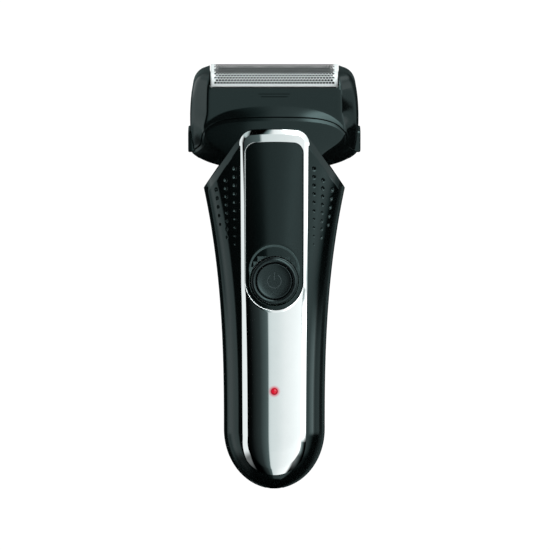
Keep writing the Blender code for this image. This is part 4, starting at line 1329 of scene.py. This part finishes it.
# What the gloss sees around the shaver, by azimuth in degrees: 0 is the camera's side, growing to its right.
LEVEL_STRIP = (
    (-180, 0.08), (-168, 0.08), (-164, 0.02), (-151, 0.02), (-141, 0.25), (-128, 0.6), (-110, 0.9),
    (-81, 0.95), (-78.5, 0.0), (-47, 0.0), (-36, 0.003), (-18, 0.032), (-8, 0.10), (-5.3, 0.13),
    (-4.7, 0.70), (-2, 0.76), (12, 0.92), (40, 1.1), (72, 1.2), (80, 2.2), (91, 3.0), (96, 1.2),
    (101, 0.55), (112, 0.5), (124, 0.4), (132, 0.05), (172, 0.0), (176, 0.08), (180, 0.08),
)
LOW_STRIP = (
    (-180, 0.08), (-165, 0.02), (-150, 0.03), (-140, 0.2), (-126, 0.25), (-117, 0.6), (-107, 0.95),
    (-81, 0.95), (-76, 0.0), (-47, 0.0), (-36, 0.004), (-18, 0.03), (-8, 0.10), (-5.3, 0.13),
    (-4.7, 0.70), (-2, 0.78), (12, 0.95), (40, 1.15), (54, 1.4), (70, 1.0), (81, 0.5), (90, 0.1),
    (95, 0.0), (120, 0.0), (135, 0.06), (180, 0.08),
)
MIDDLE_STRIP = (
    (-180, 0.1), (-150, 0.2), (-140, 0.95), (-84, 0.95), (-76, 0.0), (-30, 0.0), (-8, 0.01), (-3, 0.3),
    (0, 0.9), (5.5, 1.0), (7.5, 1.8), (9, 4.2), (12, 5.0), (20, 4.0), (40, 1.6), (52, 1.2), (108, 1.0),
    (118, 0.35), (130, 0.1), (150, 0.05), (180, 0.1),
)
HIGH_STRIP = (
    (-180, 0.1), (-130, 0.6), (-70, 0.6), (-45, 0.0), (-11, 0.0), (-5, 0.3), (0, 0.95), (8.5, 1.1),
    (11, 1.8), (14, 4.6), (26, 5.5), (44, 5.0), (62, 1.6), (120, 1.2), (150, 0.3), (180, 0.1),
)


BRIGHTEST = 6.0  # the brightness that the ramps' full value stands for
# Where one strip turns into the next, by how far up the direction points: 0 is level, 1 straight up.
LOW_TO_LEVEL, LEVEL_TO_MIDDLE, MIDDLE_TO_HIGH = (-0.125, -0.085), (-0.02, 0.04), (0.42, 0.62)


def strip_ramp(nodes, links, turn, strip):
    """Brightness by azimuth, from stops of (degrees, brightness), as a share of the brightest."""
    ramp = nodes.new("ShaderNodeValToRGB")
    stops = ramp.color_ramp.elements
    while len(stops) < len(strip):
        stops.new(0.5)
    for stop, (degrees, _) in zip(stops, strip):
        stop.position = degrees / 360 + 0.5
    for stop, (_, brightness) in zip(stops, strip):
        red = 0.72 + 0.24 * float(smooth(brightness, 0.15, 1.0))
        share = brightness / BRIGHTEST
        stop.color = (red * share, share, share, 1)
    links.new(turn, ramp.inputs["Fac"])
    return ramp.outputs["Color"]


def calculate(nodes, links, operation, *values):
    step = nodes.new("ShaderNodeMath")
    step.operation = operation
    for socket, value in zip(step.inputs, values):
        if isinstance(value, (int, float)):
            socket.default_value = value
        else:
            links.new(value, socket)
    return step.outputs["Value"]


def make_world():
    """White for the camera, even light for matt surfaces, and soft panels round the shaver for its gloss."""
    world = bpy.data.worlds.new("studio")
    SCENE.world = world
    world.use_nodes = True
    nodes, links = world.node_tree.nodes, world.node_tree.links
    nodes.clear()
    place_node = nodes.new("ShaderNodeTexCoord")
    parts = nodes.new("ShaderNodeSeparateXYZ")
    links.new(place_node.outputs["Generated"], parts.inputs["Vector"])
    x, y, z = (parts.outputs[i] for i in range(3))
    azimuth = calculate(nodes, links, "ARCTAN2", x, calculate(nodes, links, "MULTIPLY", y, -1.0))
    turn = calculate(nodes, links, "MULTIPLY_ADD", azimuth, 0.5 / math.pi, 0.5)
    strips = (LOW_STRIP, LEVEL_STRIP, MIDDLE_STRIP, HIGH_STRIP)
    low, level, middle, high = (strip_ramp(nodes, links, turn, strip) for strip in strips)
    panels = blend_colours(nodes, links, ramp_between(nodes, links, z, *LOW_TO_LEVEL), low, level)
    panels = blend_colours(nodes, links, ramp_between(nodes, links, z, *LEVEL_TO_MIDDLE), panels, middle)
    panels = blend_colours(nodes, links, ramp_between(nodes, links, z, *MIDDLE_TO_HIGH), panels, high)
    sideways = ramp_between(nodes, links, calculate(nodes, links, "ABSOLUTE", azimuth), 0.75, 1.15)
    centre_fade = ramp_between(nodes, links, z, -0.985, -0.96)
    near_level = ramp_between(nodes, links, z, -0.45, -0.25)
    side_fade = calculate(nodes, links, "MULTIPLY_ADD", near_level, 0.82, 0.18)
    side_fade = calculate(nodes, links, "MULTIPLY", side_fade, ramp_between(nodes, links, z, -0.8, -0.5))
    frontal = calculate(nodes, links, "SUBTRACT", 1.0, sideways)
    spared = calculate(nodes, links, "MULTIPLY", centre_fade, frontal)
    fade = calculate(nodes, links, "MULTIPLY_ADD", side_fade, sideways, spared)
    fade = calculate(nodes, links, "MULTIPLY", fade, BRIGHTEST)
    output = nodes.new("ShaderNodeOutputWorld")
    path = nodes.new("ShaderNodeLightPath")
    studio, even, white = (nodes.new("ShaderNodeBackground") for _ in range(3))
    links.new(panels, studio.inputs["Color"])
    links.new(fade, studio.inputs["Strength"])
    even.inputs["Color"].default_value = (0.95, 1.0, 1.0, 1)
    even.inputs["Strength"].default_value = 0.95
    white.inputs["Color"].default_value = (1, 1, 1, 1)
    white.inputs["Strength"].default_value = 1.05
    studio, even, white = (node.outputs["Background"] for node in (studio, even, white))
    seen = mix_shaders(nodes, links, path.outputs["Is Glossy Ray"], even, studio)
    seen = mix_shaders(nodes, links, path.outputs["Is Camera Ray"], seen, white)
    links.new(seen, output.inputs["Surface"])


def make_floor():
    """A plain pale floor, which doesn't show in the shaver's gloss."""
    look, nodes, links, shader = new_look("floor_white")
    cloud = add_noise(nodes, links, 3.0)
    pale = blend_colours(nodes, links, cloud, (0.74, 0.76, 0.76), (0.80, 0.81, 0.81))
    links.new(pale, shader.inputs["Base Color"])
    shader.inputs["Roughness"].default_value = 0.9
    shader.inputs["Specular IOR Level"].default_value = 0.0
    path = nodes.new("ShaderNodeLightPath")
    glow = nodes.new("ShaderNodeEmission")
    glow.inputs["Color"].default_value = (1, 1, 1, 1)
    glow.inputs["Strength"].default_value = 1.05
    seen_by_camera = path.outputs["Is Camera Ray"]
    mixed = mix_shaders(nodes, links, seen_by_camera, shader.outputs["BSDF"], glow.outputs["Emission"])
    links.new(mixed, nodes["Material Output"].inputs["Surface"])
    turns = np.linspace(0, 2 * math.pi, 96, endpoint=False)
    points = [(2500 * math.cos(a), 2500 * math.sin(a), -0.2) for a in turns]
    floor = make_piece("studio_floor", points, [tuple(range(96))], look)
    floor.visible_glossy = False


def make_lights():
    """Two broad soft lights for the matt surfaces: the gloss gets its panels from the world."""
    softbox("front_box", 30.0, 0.25, 0.9, (0.9, 0.8), 1.8)
    top = softbox("top_box", 0.0, 0.75, 0.05, (0.7, 0.5), 0.5)
    top.location = (0, -0.05, 0.8)
    top.rotation_euler = (0, 0, 0)


VIEW_WIDTH = 0.198  # how much of the shaver's plane the picture takes in, in metres


def make_camera():
    data = bpy.data.cameras.new("camera")
    camera = bpy.data.objects.new("camera", data)
    SCENE.collection.objects.link(camera)
    distance, lift = 3.0, math.radians(3.0)
    target = Vector((0.00025, 0.0, 0.0765))
    camera.location = target + Vector((0, -distance * math.cos(lift), distance * math.sin(lift)))
    aim(camera, target)
    data.sensor_width = 36.0
    data.lens = 36.0 * distance / VIEW_WIDTH
    data.clip_start, data.clip_end = 0.01, 20.0
    data.dof.use_dof = False
    SCENE.camera = camera


def main():
    SCENE.view_settings.view_transform = "Standard"
    make_camera()
    make_front_shell()
    make_rear_shell()
    make_fascia()
    make_inlay()
    make_button()
    make_lamp()
    make_foil_frame()
    make_head_base()
    make_release_buttons()
    for line in LINES:
        make_foil(line)
        make_cutter(line)
    make_springs()
    make_flexures()
    dress_cad_nodes()
    make_world()
    make_floor()
    make_lights()


main()
